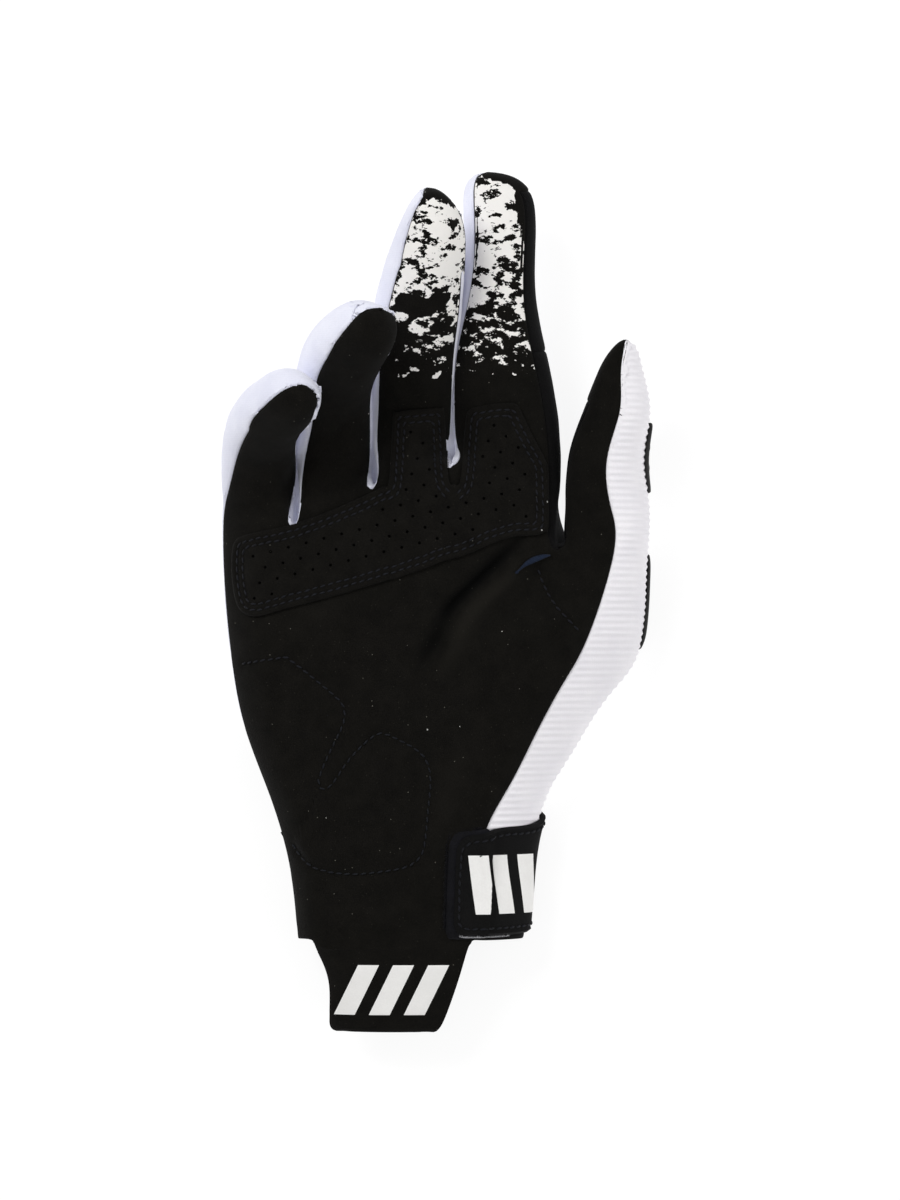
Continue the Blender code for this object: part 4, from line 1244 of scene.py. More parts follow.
def tidy_rings(sheet, widths):
    """Rows of points close inside a sheet's edge, for a rounded edge."""
    for width in widths:
        bmesh.ops.inset_region(sheet, faces=list(sheet.faces), use_boundary=True, use_even_offset=False,
                               thickness=width, depth=0.0)
    sheet.normal_update()


SURFACES = {}  # the finished outer side of each panel, as a search tree


def closed_wall(name, sheet, outward, wall):
    """A closed sheet: the outer side moved out by outward(place, normal), the inner wall below it."""
    sheet.verts.index_update()
    rim = edge_tree(sheet)
    outer, inner, faces = [], [], [tuple(v.index for v in f.verts) for f in sheet.faces]
    for v in sheet.verts:
        away = rim.find(v.co)[2]
        lift = outward(v.co, v.normal, away)
        place = v.co + v.normal * lift
        place.z = max(place.z, 0.02 * MM)
        outer.append(place)
        room = wall * (0.4 + 0.6 * min(1.0, away / (2 * wall)))
        inner.append(place - v.normal * room)
    SURFACES[name] = BVHTree.FromPolygons(outer, faces)
    sheet.free()
    return closed_mesh(name, outer, inner, faces)


def sharp_edges(mesh, degrees=50):
    mesh.shade_smooth()
    mesh.set_sharp_from_angle(angle=math.radians(degrees))


FORM = Form(FORM_LEVEL)
FINE = Form(FINE_LEVEL)
LINES = detail_lines()
LINE_TREE = tree_of_points([p for line in LINES for p in line])
PAD_OUTLINE = [(x * MM, y * MM) for x, y in HEEL_PAD]
PAD_RISE = 0.9 * MM
PAD_SLOPE = 7 * MM  # distance from its stitches at which the pad is at its full height


def near_detail(place, reach):
    return place.z > FACE_HEIGHT and LINE_TREE.find(Vector((place.x, place.y, 0.0)))[2] < reach


def print_amount(place, normal):
    """How much ink the middle and index fingertips carry: 0 is none, 1 is nearly full."""
    y = place.y / MM
    middle = -13.0 < place.x / MM < 11.5 and y > 160
    index = 11.5 <= place.x / MM < 34 and y > 160
    if not (middle or index) or normal.z < 0.12 or (middle and y < 182 and place.z > 37 * MM):
        return 0.0
    top = 210.2 - 0.40 * abs(place.x / MM - 1) if middle else 217.7 - 0.34 * abs(place.x / MM - 14)
    if y > top or (index and place.x / MM > 23.4 + 0.168 * (215 - y)):
        return 0.0
    stops = ((160.5, 0.0), (161, 0.60), (166, 0.66), (172, 0.705), (177, 0.74), (182, 0.80), (187, 0.835),
             (196, 0.865), (204, 0.845), (230, 0.845))
    for (y0, a0), (y1, a1) in zip(stops, stops[1:]):
        if y0 <= y < y1:
            return mix(a0, a1, (y - y0) / (y1 - y0))
    return 1.0


def seam_roll(away, depth, reach):
    """An edge that turns down into its seam."""
    return -depth * (1 - rounding(away, reach))


def add_values(mesh, name, values):
    mesh.attributes.new(name, "FLOAT", "POINT").data.foreach_set("value", values)


def painted_crease_shading_amount(place):
    """How deep a place lies in the palm's creases, from -1 to 1: it sets the painted shade in their valleys
    and the painted highlight on their ridges.
    """
    if place.z <= FACE_HEIGHT:
        return 0.0
    return min(1.0, max(-1.0, wrinkle_depth(place) / (2.6 * MM)))


def wrinkled(place, depth):
    return place.z > FACE_HEIGHT and abs(wrinkle_depth(place)) > depth


def suede_palm():
    sheet = panel_sheet(FORM, "palm_panel")
    refine(sheet, FINE.tree, lambda c: near_detail(c, 4.5 * MM) or wrinkled(c, 0.1 * MM))
    refine(sheet, FINE.tree, lambda c: wrinkled(c, 0.5 * MM))
    tidy_rings(sheet, (1.0 * MM, 0.4 * MM))

    def outward(place, normal, away):
        up = min(1.0, max(0.0, (normal.z - 0.2) * 2))
        tab = place.y < 1 * MM
        lift = 0.12 * MM + seam_roll(away, 0.35 * MM, 0.9 * MM)
        lift += up * (0.0 if tab else palm_detail(place)) - up * wrinkle_depth(place)
        lift += 0.22 * MM * soft_waves(place, 9 * MM, 0.3) * min(1.0, away / (4 * MM))
        return lift

    mesh = closed_wall("suede_palm", sheet, outward, SUEDE_WALL)
    add_values(mesh, "print_amount", [print_amount(v.co, v.normal) for v in mesh.vertices])
    # Painted shade and highlight for the suede's colour, from the depth of the creases.
    add_values(mesh, "painted_crease_shading", [painted_crease_shading_amount(v.co) for v in mesh.vertices])
    sharp_edges(mesh)
    return add_piece("suede_palm", mesh, SUEDE, ["palm_panel"], smooth=False)


# Rows of points inside the edge of a stretch panel, and the width of its rolled edge
CLOTH_RINGS = (0.9 * MM, 0.35 * MM)
CLOTH_ROLL = 1.6 * MM


def cloth_panel(name, node, finish, dip, wall, wave):
    """A plain stretch panel, set a little lower than the suede so that its edge goes under."""
    sheet = panel_sheet(FORM, node)
    tidy_rings(sheet, CLOTH_RINGS)

    def outward(place, normal, away):
        lift = seam_roll(away, dip, CLOTH_ROLL) - 0.08 * MM
        up = min(1.0, max(0.0, (normal.z + 0.1) * 2))
        lift -= up * wrinkle_depth(place)
        lift += wave * soft_waves(place, 8 * MM, 1.7) * min(1.0, away / (3 * MM))
        return lift

    mesh = closed_wall(name, sheet, outward, wall)
    sharp_edges(mesh)
    return add_piece(name, mesh, finish, [node], smooth=False)


# The folded cloth between two fingers: points of its middle line (x, y), in millimetres
GAPS = (
    ((-38.4, 117.0), (-37.4, 126.0), (-36.4, 135.0), (-35.2, 145.0)),
    ((-16.2, 126.0), (-15.6, 138.0), (-14.8, 150.0), (-13.2, 164.0), (-11.6, 174.0)),
    ((8.2, 137.0), (8.6, 155.0), (9.4, 180.0), (10.2, 196.0)),
)


def centre_height(number, y):
    """Height of a digit's middle line at a place along the glove."""
    centres = station_centres(number)
    for a, b in zip(centres, centres[1:]):
        if a.y <= y < b.y:
            return mix(a.z, b.z, (y - a.y) / (b.y - a.y))
    return centres[0].z if y < centres[0].y else centres[-1].z


def fill_rows(sheet, rows):
    """Faces between rows of points that run across a sheet, facing up."""
    for a, b in zip(rows, rows[1:]):
        for k in range(len(a) - 1):
            sheet.faces.new((a[k], a[k + 1], b[k + 1], b[k]))
    sheet.normal_update()
    if sum(f.normal.z for f in sheet.faces) < 0:
        bmesh.ops.reverse_faces(sheet, faces=sheet.faces[:])
        sheet.normal_update()


def gusset_folds():
    """Cloth folded down between the fingers, so that no light comes through."""
    for number, gap in enumerate(GAPS):
        line = flat_curve(gap, 1.0 * MM)
        sheet = bmesh.new()
        rows = []
        for spot in line:
            high = min(centre_height(number, spot.y), centre_height(number + 1, spot.y)) + 1.0 * MM
            rows.append([sheet.verts.new((spot.x + k * 1.0 * MM, spot.y, high + abs(k) ** 1.5 * 0.5 * MM))
                         for k in range(-4, 5)])
        fill_rows(sheet, rows)
        name = "gusset_fold_%d" % (number + 1)
        mesh = closed_wall(name, sheet, lambda place, normal, away: 0.3 * MM * soft_waves(place, 5 * MM, 6.1),
                           KNIT_WALL)
        sharp_edges(mesh)
        add_piece(name, mesh, KNIT, smooth=False)


def rib_maker():
    """Raises ribs on a cloth whose points lie on rows along its length."""
    maker = Maker("cloth_ribs", {"Pitch": "Float", "Rise": "Float", "Material": "Material"})
    place = maker.node("GeometryNodeInputPosition")
    parts = maker.node("ShaderNodeSeparateXYZ", {"Vector": place.outputs[0]})
    turn = maker.node("ShaderNodeMath", {0: parts.outputs["Y"], 1: maker.source["Pitch"]}, operation="DIVIDE")
    circle = maker.node("ShaderNodeMath", {0: turn.outputs[0], 1: 2 * math.pi}, operation="MULTIPLY")
    wave = maker.node("ShaderNodeMath", {0: circle.outputs[0]}, operation="COSINE")
    outer = maker.node("GeometryNodeInputNamedAttribute", data_type="FLOAT", Name="outer")
    share = maker.node("ShaderNodeMath", {0: wave.outputs[0], 1: outer.outputs["Attribute"]},
                       operation="MULTIPLY")
    rise = maker.node("ShaderNodeMath", {0: share.outputs[0], 1: maker.source["Rise"]}, operation="MULTIPLY")
    normal = maker.node("GeometryNodeInputNormal")
    way = maker.node("ShaderNodeVectorMath", {0: normal.outputs[0], "Scale": rise.outputs[0]},
                     operation="SCALE")
    moved = maker.node("GeometryNodeSetPosition", {
        "Geometry": maker.source["Geometry"], "Offset": way.outputs[0]})
    maker.finish(moved.outputs[0])
    return maker


def ribbed_thumb():
    sheet = panel_sheet(FORM, "thumb_back_panel")
    low, high = (f(v.co.y for v in sheet.verts) for f in (min, max))
    step = RIB_PITCH / RIB_CUTS
    tidy_rings(sheet, CLOTH_RINGS)
    slice_sheet(sheet, math.floor(low / step) * step, high, step)
    rim = edge_tree(sheet)
    outer = [min(1.0, rim.find(v.co)[2] / (1.5 * MM)) * min(1.0, max(0.0, v.normal.z + 1.15) * 3)
             for v in sheet.verts]

    def outward(place, normal, away):
        lift = seam_roll(away, 0.55 * MM, CLOTH_ROLL) - 0.1 * MM
        up = min(1.0, max(0.0, (normal.z + 0.3) * 2))
        return lift - up * wrinkle_depth(place) + 0.25 * MM * soft_waves(place, 12 * MM, 2.9)

    mesh = closed_wall("ribbed_thumb", sheet, outward, KNIT_WALL)
    add_values(mesh, "outer", outer + [0.0] * len(outer))
    made = rib_maker().run(mesh, Pitch=RIB_PITCH, Rise=RIB_RISE / 2, Material=RIBBED)
    sharp_edges(made)
    return add_piece("ribbed_thumb", made, RIBBED, ["thumb_back_panel"], smooth=False)


def make_panels():
    suede_palm()
    for name, node, finish, slot, dip, wall, wave in (
            ("knit_back", "back_panel", KNIT, "knit", 0.55, KNIT_WALL, 0.35),
            ("pinky_ring_gusset", "gusset_pinky_ring", KNIT, "knit", 0.5, KNIT_WALL, 0.3),
            ("ring_middle_gusset", "gusset_ring_middle", KNIT, "knit", 0.5, KNIT_WALL, 0.3),
            ("middle_index_gusset", "gusset_middle_index", KNIT, "knit", 0.5, KNIT_WALL, 0.25),
            ("thumb_crotch_gusset", "thumb_crotch_gusset", STRETCH, "stretch", 0.5, KNIT_WALL, 0.3),
            ("index_side", "index_side_panel", STRETCH, "stretch", 0.4, KNIT_WALL, 0.2),
            ("cuff_band", "cuff_band", NEOPRENE, "neoprene", 0.3, CUFF_WALL, 0.2)):
        cloth_panel(name + "_cloth", node, finish, dip * MM, wall, wave * MM)
    gusset_folds()
    ribbed_thumb()


# Palm patch

def patch_outline():
    places, _ = root_row()
    left, right = places[0][0], places[3 * 3 + 2][0]
    low = [Vector((mix(left, right, p.x), p.low * HAND_LENGTH)) for p in PATCH_LINES]
    high = [Vector((mix(left, right, p.x), p.high * HAND_LENGTH)) for p in reversed(PATCH_LINES)]
    corners = [p.to_3d() for p in low + high]
    line = smooth_line(corners, LINE_STEP, closed=True)
    return [p.to_2d() for p in line[:-1]]


def inner_row(outline, tree, depth):
    """The outline drawn in by a depth, without the loops that tight corners leave."""
    count = len(outline)
    row = []
    for n, place in enumerate(outline):
        way = (outline[(n + 2) % count] - outline[n - 2]).normalized()
        moved = place + Vector((-way.y, way.x)) * depth
        if tree.find(moved.to_3d())[2] > depth * 0.93:
            row.append(moved)
    return row


def split_row(row, gap):
    """A row of places as separate runs where it jumps."""
    runs = [[row[0]]]
    for a, b in zip(row, row[1:]):
        if (b - a).length > gap:
            runs.append([])
        runs[-1].append(b)
    if (row[0] - row[-1]).length < gap and len(runs) > 1:
        runs[0] = runs.pop() + runs[0]
    return [run for run in runs if len(run) > 3]


def hole_places(outline, tree):
    """Centres of the perforations, on an offset grid."""
    flat = [tuple(p) for p in outline]
    spots = []
    turn = Matrix.Rotation(HOLE_TURN, 2)
    for row in HOLE_GRID:
        for column in HOLE_GRID:
            x = (column + 0.5 * (row % 2)) * HOLE_PITCH
            spot = turn @ Vector((x, row * HOLE_PITCH * 0.75)) + Vector((0.0, HOLE_MIDDLE))
            if inside(spot.x, spot.y, flat) and tree.find(spot.to_3d())[2] > HOLE_MARGIN:
                spots.append(spot)
    return spots


def perforated_patch(palm_tree):
    outline = patch_outline()
    tree = tree_of_points(smooth_line([p.to_3d() for p in outline], 0.25 * MM, closed=True))
    flat = [tuple(p) for p in outline]
    spots = list(outline)
    for depth in PATCH_DEPTHS:
        spots += inner_row(outline, tree, depth * MM)
    holes = hole_places(outline, tree)
    hole_tree = tree_of_points([h.to_3d() for h in holes])
    rings = []
    for hole in holes:
        ring = [hole + Vector((math.cos(t), math.sin(t))) * HOLE_SIZE / 2
                for t in (2 * math.pi * k / HOLE_CORNERS for k in range(HOLE_CORNERS))]
        rings.append(list(range(len(spots), len(spots) + HOLE_CORNERS)))
        spots += ring
        spots += [hole + (p - hole) * 1.7 for p in ring]
    lows = [min(p[k] for p in flat) for k in (0, 1)]
    highs = [max(p[k] for p in flat) for k in (0, 1)]
    for i in range(int((highs[0] - lows[0]) / PATCH_GRID) + 1):
        for j in range(int((highs[1] - lows[1]) / PATCH_GRID) + 1):
            spot = Vector((lows[0] + (i + 0.5 * (j % 2)) * PATCH_GRID, lows[1] + j * PATCH_GRID))
            if (inside(spot.x, spot.y, flat) and tree.find(spot.to_3d())[2] > PATCH_GRID_MARGIN
                    and hole_tree.find(spot.to_3d())[2] > HOLE_SIZE * 1.3):
                spots.append(spot)
    count = len(outline)
    edges = [(n, (n + 1) % count) for n in range(count)]
    edges += [(ring[k], ring[(k + 1) % HOLE_CORNERS]) for ring in rings for k in range(HOLE_CORNERS)]
    made = geometry.delaunay_2d_cdt(spots, edges, [], 0, 1e-7)
    sheet = bmesh.new()
    verts = [sheet.verts.new((p.x, p.y, 0.0)) for p in made[0]]
    for face in made[2]:
        middle = sum((made[0][i] for i in face), Vector((0.0, 0.0))) / len(face)
        if inside(middle.x, middle.y, flat) and hole_tree.find(middle.to_3d())[2] > HOLE_SIZE * 0.47:
            sheet.faces.new([verts[i] for i in face])
    loose = [v for v in sheet.verts if not v.link_faces]
    bmesh.ops.delete(sheet, geom=loose, context="VERTS")
    sheet.normal_update()
    sheet.faces.ensure_lookup_table()
    if sheet.faces[0].normal.z < 0:
        bmesh.ops.reverse_faces(sheet, faces=sheet.faces[:])
    top, under = [], []
    sheet.verts.index_update()
    for v in sheet.verts:
        away = tree.find(Vector((v.co.x, v.co.y, 0.0)))[2]
        hit = onto_palm(palm_tree, v.co.x, v.co.y)[0]
        height = PATCH_RISE * (0.45 + 0.55 * rounding(away, PATCH_EDGE))
        for row in PATCH_ROWS:
            height -= 0.5 * MM * groove(away, row, 0.55 * MM)
        hole = hole_tree.find(Vector((v.co.x, v.co.y, 0.0)))[2]
        height -= 0.25 * MM * groove(max(HOLE_SIZE / 2, hole), HOLE_SIZE / 2, 0.3 * MM)
        height += 0.18 * MM * soft_waves(Vector((v.co.x, v.co.y, 0)), 6 * MM, 4.4)
        top.append(hit + Vector((0, 0, PATCH_GAP + height)))
        under.append(hit + Vector((0, 0, PATCH_GAP)))
    faces = [tuple(v.index for v in f.verts) for f in sheet.faces]
    sheet.free()
    mesh = closed_mesh("perforated_patch", top, under, faces)
    top_tree = BVHTree.FromPolygons(top, faces)
    sharp_edges(mesh, 60)
    add_piece("perforated_patch", mesh, PATCH_SUEDE, ["palm_patch"], smooth=False)
    runs = [run for row in PATCH_ROWS for run in split_row(inner_row(outline, tree, row), 3 * LINE_STEP)]
    stitch_rows("patch_stitches", laid_lines(runs, top_tree), seed=3)


def laid_lines(lines, tree):
    """Flat lines laid on a surface, as (place, facing) points."""
    spots = [[onto_palm(tree, p.x, p.y) for p in line] for line in lines]
    return [[(hit, way) for hit, way in line if hit is not None] for line in spots]


# Strap, guards and marks

def table_line(rows, share, fields):
    """Values of a table's fields part of the way along it, on a smooth curve."""
    points = [Vector([getattr(row, field) for field in fields]) for row in rows]
    spot = share * (len(points) - 1)
    n = min(int(spot), len(points) - 2)
    t = spot - n
    a, b, c, d = (points[min(max(n + k, 0), len(points) - 1)] for k in (-1, 0, 1, 2))
    return spline(a, b, c, d, t)


def wrist_ray(turn, y):
    """Start and way of a ray to the wrist's middle, turn degrees round from +X."""
    way = Vector((math.cos(math.radians(turn)), 0, math.sin(math.radians(turn))))
    return Vector((CUFF_SHIFT, y, MID_HEIGHT)) + way * RAY_START, -way


def wrist_point(turn, y, tree):
    """Where a ray from outside the wrist meets what it lies on."""
    start, back = wrist_ray(turn, y)
    return tree.ray_cast(start, back)[0], -back


def smooth_grid(points, rows, columns, rounds):
    """Evens out a grid of points without pulling its edge in."""
    for _ in range(rounds):
        fresh = [p.copy() for p in points]
        for r in range(rows):
            for c in range(columns):
                n = r * columns + c
                near = [points[n - 1], points[n + 1]] if 0 < c < columns - 1 else []
                near += [points[n - columns], points[n + columns]] if 0 < r < rows - 1 else []
                if near:
                    fresh[n] = points[n].lerp(sum(near, Vector()) / len(near), 0.5)
        points = fresh
    return points


def band_sheet(name, tree, lines, gap, thick, edge, rows, columns, seam=None, rounds=6):
    """A band laid round the wrist: its closed mesh, upper points, their directions and a search tree."""
    low, ways, flats = [], [], []
    for r in range(rows):
        turn, start, end = table_line(lines, r / (rows - 1), ("turn", "low", "high"))
        for c in range(columns):
            y = mix(start, end, c / (columns - 1)) * STRAP_WIDTH
            hit, way = wrist_point(turn, y, tree)
            low.append(hit + way * gap)
            ways.append(way)
    low = smooth_grid(low, rows, columns, rounds)
    low = [p + way * max(0.0, gap - (p - hit).dot(way))
           for p, way, hit in ((p, w, tree.ray_cast(p + w * SIDE_RAY_START, -w)[0])
                               for p, w in zip(low, ways))]
    top = []
    for n, (p, way) in enumerate(zip(low, ways)):
        r, c = divmod(n, columns)
        away = min(
            (p - low[r * columns]).length, (p - low[r * columns + columns - 1]).length,
            (p - low[(rows - 1) * columns + c]).length)
        height = thick * (0.4 + 0.6 * rounding(away, edge))
        if seam:
            height -= 0.3 * MM * groove(away, seam, 0.5 * MM)
        top.append(p + way * height)
    faces = facing_faces(grid_faces(rows, columns), top, ways[0])
    return closed_mesh(name, top, low, faces), top, ways, BVHTree.FromPolygons(top, faces)


MARK_STEPS = 30  # squares along each side of a printed bar


def mark_patch(name, quads, tree, lift, straight):
    """Flat printed bars laid on a surface. straight gives the ray for a flat place."""
    points, faces = [], []
    for corners in quads:
        first = len(points)
        a, b, c, d = (Vector(p) for p in corners)
        for i in range(MARK_STEPS + 1):
            for j in range(MARK_STEPS + 1):
                flat = a.lerp(b, i / MARK_STEPS).lerp(d.lerp(c, i / MARK_STEPS), j / MARK_STEPS)
                start, way = straight(flat)
                hit = tree.ray_cast(start, way)[0]
                rim = min(i, MARK_STEPS - i, j, MARK_STEPS - j) == 0
                points.append(hit - way * (0.02 * MM if rim else lift))
        faces += grid_faces(MARK_STEPS + 1, MARK_STEPS + 1, first)
    mesh = bpy.data.meshes.new(name)
    mesh.from_pydata([tuple(p) for p in points], [], faces)
    start, way = straight(Vector(quads[0][0]))
    mesh.update()
    if mesh.polygons[0].normal.dot(way) > 0:
        mesh.flip_normals()
    mesh.shade_smooth()
    return add_piece(name, mesh, INK, smooth=False)


PAD_ROWS = PAD_COLUMNS = 40
STRAP_ROWS = 96
STRAP_COLUMNS = 44
STRAP_SEAM = 1.7 * MM  # from the strap's edge to its stitches


def fuzzy_edge(name, line, width, finish, slot, *fibre):
    points, faces = strip_along(line, width)
    fuzz(name, points, faces, finish, slot, *fibre)


def wrist_straps():
    pad, pad_top, pad_ways, _ = band_sheet(
        "hook_pad", FORM.tree, HOOK_PAD_LINES, 0.15 * MM, HOOK_PAD_THICKNESS + 0.35 * MM, 0.7 * MM,
        PAD_ROWS, PAD_COLUMNS)
    both = BVHTree.FromPolygons(
        FORM.points + pad_top,
        FORM.faces + [tuple(len(FORM.points) + i for i in p.vertices) for p in pad.polygons
                      if max(p.vertices) < len(pad_top)])
    strap, top, ways, strap_tree = band_sheet(
        "closing_strap", both, STRAP_LINES, 0.25 * MM, STRAP_THICKNESS, 0.8 * MM,
        STRAP_ROWS, STRAP_COLUMNS, STRAP_SEAM, 30)
    sharp_edges(pad)
    sharp_edges(strap)
    add_piece("hook_pad", pad, HOOK, ["strap_hook_pad"], smooth=False)
    add_piece("closing_strap", strap, NEOPRENE, ["wrist_strap"], smooth=False)

    columns = STRAP_COLUMNS
    row = [r * columns + 3 for r in range(2, STRAP_ROWS - 3)]
    row += [(STRAP_ROWS - 4) * columns + c for c in range(3, columns - 3)]
    row += [r * columns + columns - 4 for r in range(STRAP_ROWS - 4, 1, -1)]
    stitch_rows("strap_stitches", [[(top[n], ways[n]) for n in row]], seed=9)

    rim = [r * PAD_COLUMNS + PAD_COLUMNS - 1 for r in range(4, PAD_ROWS)]
    rim += [(PAD_ROWS - 1) * PAD_COLUMNS + c for c in range(PAD_COLUMNS - 2, -1, -1)]
    hooks = [(pad_top[n] - pad_ways[n] * 0.3 * MM, pad_ways[n]) for n in rim]
    low_rim = [(top[r * columns] - ways[r * columns] * 1.3 * MM - Vector((0, 0.5 * MM, 0)),
                Vector((0, -1, 0)))
               for r in range(32, 78)]
    high_rim = [(top[r * columns + columns - 1] - ways[r * columns] * 0.8 * MM, Vector((0, 0.9, 0.4)))
                for r in range(46, 66)]
    # After the line: its width, finish and slot, then the fibres' density, length, thickness, lean, seed
    fuzzy_edge("hook_fuzz", hooks, 1.5 * MM, HOOK, "hook_tape", 4.0e7, 1.0 * MM, 0.07 * MM, 1.1, 21)
    fuzzy_edge("strap_fluff", low_rim, 1.2 * MM, FLUFF, "hook_tape", 3.0e7, 1.2 * MM, 0.05 * MM, 1.2, 22)
    fuzzy_edge("loose_threads", high_rim, 0.8 * MM, NAVY, "neoprene", 4.0e6, 3.2 * MM, 0.06 * MM, 0.9, 23)

    bars = [((k - 6.0, 0.26, 0.0), (k + 3.0, 0.26, 0.0), (k + 9.0, 0.84, 0.0), (k, 0.84, 0.0))
            for k in (0.0, 14.5, 29.0)]
    mark_patch("strap_mark", bars, strap_tree, 0.16 * MM,
               lambda flat: wrist_ray(flat.x, flat.y * STRAP_WIDTH))


def tab_mark(palm_tree):
    bars = [[(a * MM, b * MM, 0.0) for a, b in (
        (x, -21.5), (x + 6.0, -21.5), (x + 13.0, -7.0), (x + 7.0, -7.0))] for x in (-28.0, -18.0, -8.0)]
    mark_patch("tab_mark", bars, palm_tree, 0.10 * MM,
               lambda flat: (Vector((flat.x, flat.y, RAY_START)), Vector((0, 0, -1))))


GUARD_ROWS = 44
GUARD_COLUMNS = 36
GUARD_TURN = math.radians(30)  # how far the guards face down from +X
GUARD_EDGE = 1.1 * MM  # width of the rounded edge
GUARD_RIM = 2.2 * MM  # width of the plain rim round the bars
GUARD_BAR_RISE = 0.2 * MM


def guard_height(away, u, v):
    """Height of a guard above its base, at shares u and v along and across it."""
    height = 0.8 * MM * rounding(away, GUARD_EDGE) + 0.3 * MM
    if away > GUARD_RIM:
        bars = 2 * math.cos(2 * math.pi * (u * 5 + v * 1.2)) - 1
        height += min(1.0, (away - GUARD_RIM) / MM) * GUARD_BAR_RISE * bars
    return height


def guard_sheet(name, node, lines, tree):
    """A moulded guard: domed, with a raised rim and bars across it."""
    rows, columns = GUARD_ROWS, GUARD_COLUMNS
    centres = station_centres(len(DIGITS) - 1)
    facing = Vector((math.cos(GUARD_TURN), 0, -math.sin(GUARD_TURN)))
    up = Vector((math.sin(GUARD_TURN), 0, math.cos(GUARD_TURN)))
    low = []
    for r in range(rows):
        along, start, end = table_line(lines, r / (rows - 1), ("along", "low", "high"))
        y = centres[0].y + along * THUMB_LENGTH
        step = max([0] + [n for n in range(len(centres) - 1) if centres[n].y <= y])
        before, after = centres[step], centres[step + 1]
        centre = before.lerp(after, (y - before.y) / (after.y - before.y))
        for c in range(columns):
            place = centre + up * THUMB_WIDTH * mix(start, end, c / (columns - 1))
            hit = tree.ray_cast(place + facing * SIDE_RAY_START, -facing)[0]
            low.append(hit + facing * 0.2 * MM)
    low = smooth_grid(low, rows, columns, 6)
    top = []
    for n, p in enumerate(low):
        r, c = divmod(n, columns)
        sides = (r * columns, r * columns + columns - 1, c, (rows - 1) * columns + c)
        away = min((p - low[k]).length for k in sides)
        top.append(p + facing * guard_height(away, r / (rows - 1), c / (columns - 1)))
    mesh = closed_mesh(name, top, low, facing_faces(grid_faces(rows, columns), top, facing))
    sharp_edges(mesh, 55)
    return add_piece(name, mesh, RUBBER, [node], smooth=False)


def fibre_maker():
    """Short fibres on a surface, more or less upright."""
    maker = Maker("fuzz", {"Density": "Float", "Length": "Float", "Thread": "Float", "Lean": "Float",
                           "Seed": "Int", "Material": "Material"})
    spots = maker.node("GeometryNodeDistributePointsOnFaces", {
        "Mesh": maker.source["Geometry"], "Density": maker.source["Density"], "Seed": maker.source["Seed"]})
    fibre = maker.node("GeometryNodeMeshCone", {
        "Radius Bottom": maker.source["Thread"], "Radius Top": 0.0, "Depth": maker.source["Length"]},
        Vertices=4)
    lean = maker.node("ShaderNodeMath", {0: maker.source["Lean"], 1: -1.0}, operation="MULTIPLY")
    low = maker.node("ShaderNodeCombineXYZ", {"X": lean.outputs[0], "Y": lean.outputs[0]})
    high = maker.node("ShaderNodeCombineXYZ", {"X": maker.source["Lean"], "Y": maker.source["Lean"]})
    tilt = maker.node("FunctionNodeRandomValue", {"Min": low.outputs[0], "Max": high.outputs[0],
                                                  "Seed": maker.source["Seed"]}, data_type="FLOAT_VECTOR")
    euler = maker.node("FunctionNodeEulerToRotation", {"Euler": tilt.outputs["Value"]})
    turned = maker.node("FunctionNodeRotateRotation", {
        "Rotation": spots.outputs["Rotation"], "Rotate By": euler.outputs[0]}, rotation_space="LOCAL")
    size = maker.node("FunctionNodeRandomValue", {"Min": 0.5, "Max": 1.2, "Seed": maker.source["Seed"]})
    hairs = maker.node("GeometryNodeInstanceOnPoints", {
        "Points": spots.outputs["Points"], "Instance": fibre.outputs["Mesh"],
        "Rotation": turned.outputs[0], "Scale": size.outputs[1]})
    maker.finish(hairs.outputs[0])
    return maker


FUZZ = fibre_maker()


def fuzz(name, points, faces, finish, slot, density, length, thread, lean, seed):
    """Loose fibres standing on a strip of a surface."""
    base = bpy.data.meshes.new(name)
    base.from_pydata([tuple(p) for p in points], [], faces)
    mesh = FUZZ.run(base, Density=density, Length=length, Thread=thread, Lean=lean, Seed=seed,
                    Material=finish)
    return add_piece(name, mesh, finish)


def strip_along(line, width):
    """A narrow strip of faces along (place, facing) points."""
    points, faces = [], []
    for n, (place, way) in enumerate(line):
        near = line[min(n + 1, len(line) - 1)][0] - line[max(n - 1, 0)][0]
        side = near.cross(way).normalized() * width / 2
        points += [place - side, place + side]
        if n:
            k = 2 * n
            faces.append((k - 2, k, k + 1, k - 1))
    return points, faces


def fold_edge(palm_tree):
    """The edge of dark blue cloth that shows in the fold by the thumb."""
    line = flat_curve(FOLD_EDGE, 0.5 * MM)
    sheet, rows = bmesh.new(), []
    for n, spot in enumerate(line):
        wide = 1.2 * MM * math.sin(math.pi * (n + 0.5) / len(line)) ** 0.7
        hit, way = onto_palm(palm_tree, spot.x, spot.y)
        rows.append([sheet.verts.new(hit + Vector((0.35 * k * wide, 0.9 * k * wide, 0.0))
                                     + way * (0.9 - 0.3 * k * k) * MM) for k in (-1, -0.5, 0, 0.5, 1)])
    fill_rows(sheet, rows)
    mesh = closed_wall("fold_edge", sheet, lambda place, normal, away: 0.0, 1.2 * MM)
    mesh.shade_smooth()
    add_piece("fold_edge", mesh, NAVY, smooth=False)


def loose_bits(palm_tree):
    """A few specks of lint on the palm."""
    bits = bmesh.new()
    for x, y, size in LINT:
        hit, way = onto_palm(palm_tree, x * MM, y * MM)
        bmesh.ops.create_icosphere(bits, subdivisions=1, radius=size * MM / 2,
                                   matrix=Matrix.Translation(hit + way * size * 0.3 * MM))
    mesh = bpy.data.meshes.new("lint")
    bits.to_mesh(mesh)
    bits.free()
    add_piece("lint", mesh, LINT_FINISH)


# Scene

FLOOR_SIZE = 6.0  # half its side, in metres
FLOOR_DROP = 0.5 * MM
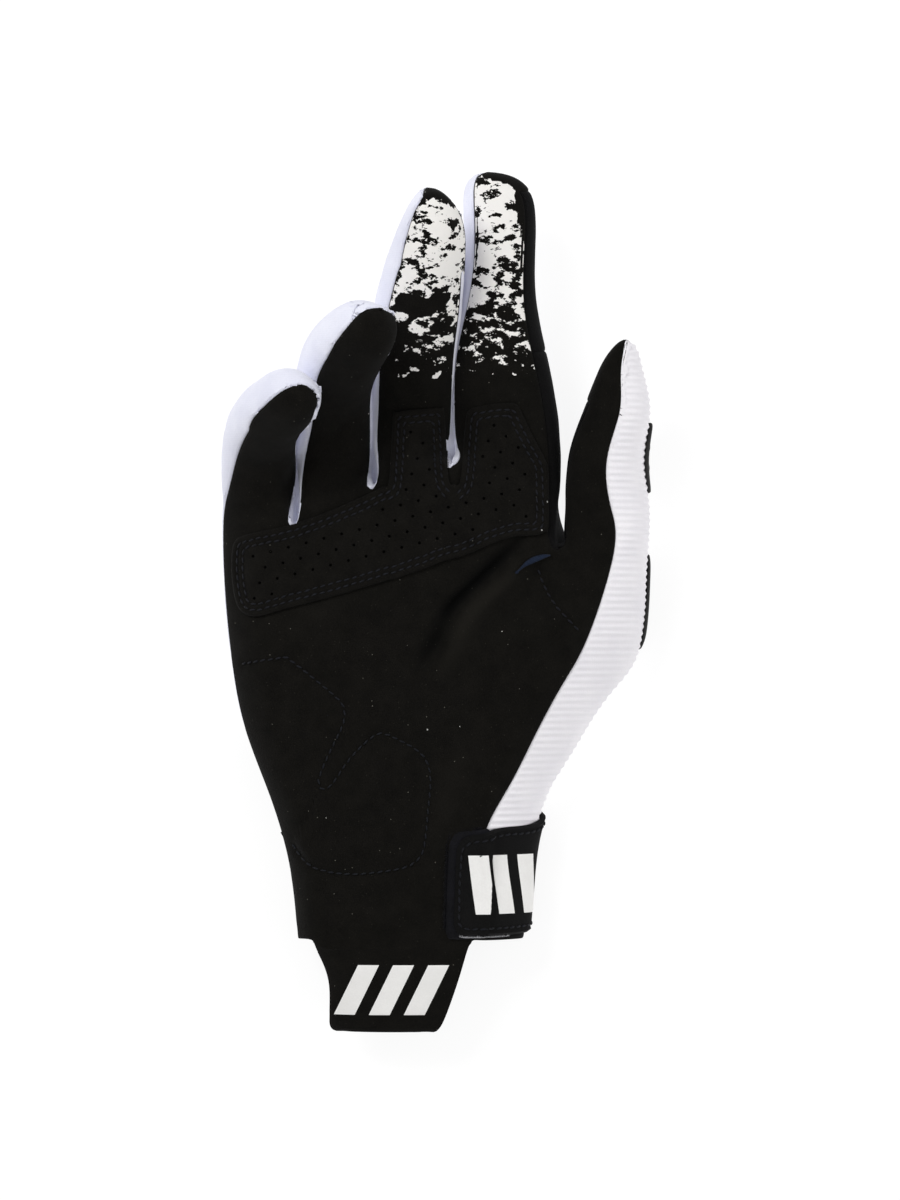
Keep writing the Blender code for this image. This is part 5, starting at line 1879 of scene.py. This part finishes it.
# Soft lights: name, place, size and power
LIGHTS = (
    ("key", (-0.75, 0.8, 1.15), 0.6, 12.0), ("fill", (1.1, -0.3, 0.9), 1.1, 7.0),
    ("top", (0.0, 0.0, 1.9), 1.6, 3.5),
)
WORLD_LIGHT = 0.36
CAMERA_PLACE = (0.0037, 0.0007, 1.6)
CAMERA_LENS = 166.3


def light_room():
    floor = bpy.data.meshes.new("floor")
    corners = [(x * FLOOR_SIZE, y * FLOOR_SIZE, 0) for x, y in ((-1, -1), (1, -1), (1, 1), (-1, 1))]
    floor.from_pydata(corners, [], [(0, 1, 2, 3)])
    ground = bpy.data.objects.new("floor", floor)
    ground.location.z = -FLOOR_DROP
    bpy.context.scene.collection.objects.link(ground)
    paint = Finish("pale_floor", 1.0, 0.0, (1, 1, 1), 0.0)
    paint.set("Base Color", (0.20, 0.20, 0.20, 1.0))
    paint.set("Emission Color", (1.0, 1.0, 1.0, 1.0))
    paint.set("Emission Strength", 0.86)
    floor.materials.append(paint.made)
    world = bpy.data.worlds.new("studio")
    world.use_nodes = True
    world.node_tree.nodes["Background"].inputs["Color"].default_value = (1.0, 1.0, 1.0, 1.0)
    world.node_tree.nodes["Background"].inputs["Strength"].default_value = WORLD_LIGHT
    bpy.context.scene.world = world
    for name, place, size, power in LIGHTS:
        lamp = bpy.data.lights.new(name, "AREA")
        lamp.energy = power
        lamp.size = size
        obj = bpy.data.objects.new(name, lamp)
        obj.location = place
        obj.rotation_euler = (-Vector(place)).to_track_quat("-Z", "Y").to_euler()
        bpy.context.scene.collection.objects.link(obj)


def make_camera():
    eye = bpy.data.cameras.new("camera")
    eye.lens = CAMERA_LENS
    eye.sensor_width = 36.0
    camera = bpy.data.objects.new("camera", eye)
    camera.location = CAMERA_PLACE
    bpy.context.scene.collection.objects.link(camera)
    bpy.context.scene.camera = camera


light_room()
make_camera()
make_panels()
perforated_patch(SURFACES["suede_palm"])
stitch_rows("heel_stitches", laid_lines(LINES, SURFACES["suede_palm"]), seed=5)
wrist_straps()
tab_mark(SURFACES["suede_palm"])
fold_edge(SURFACES["suede_palm"])
loose_bits(SURFACES["suede_palm"])
guard_sheet("upper_guard", "thumb_guard_upper", UPPER_GUARD, FORM.tree)
guard_sheet("lower_guard", "thumb_guard_lower", LOWER_GUARD, FORM.tree)
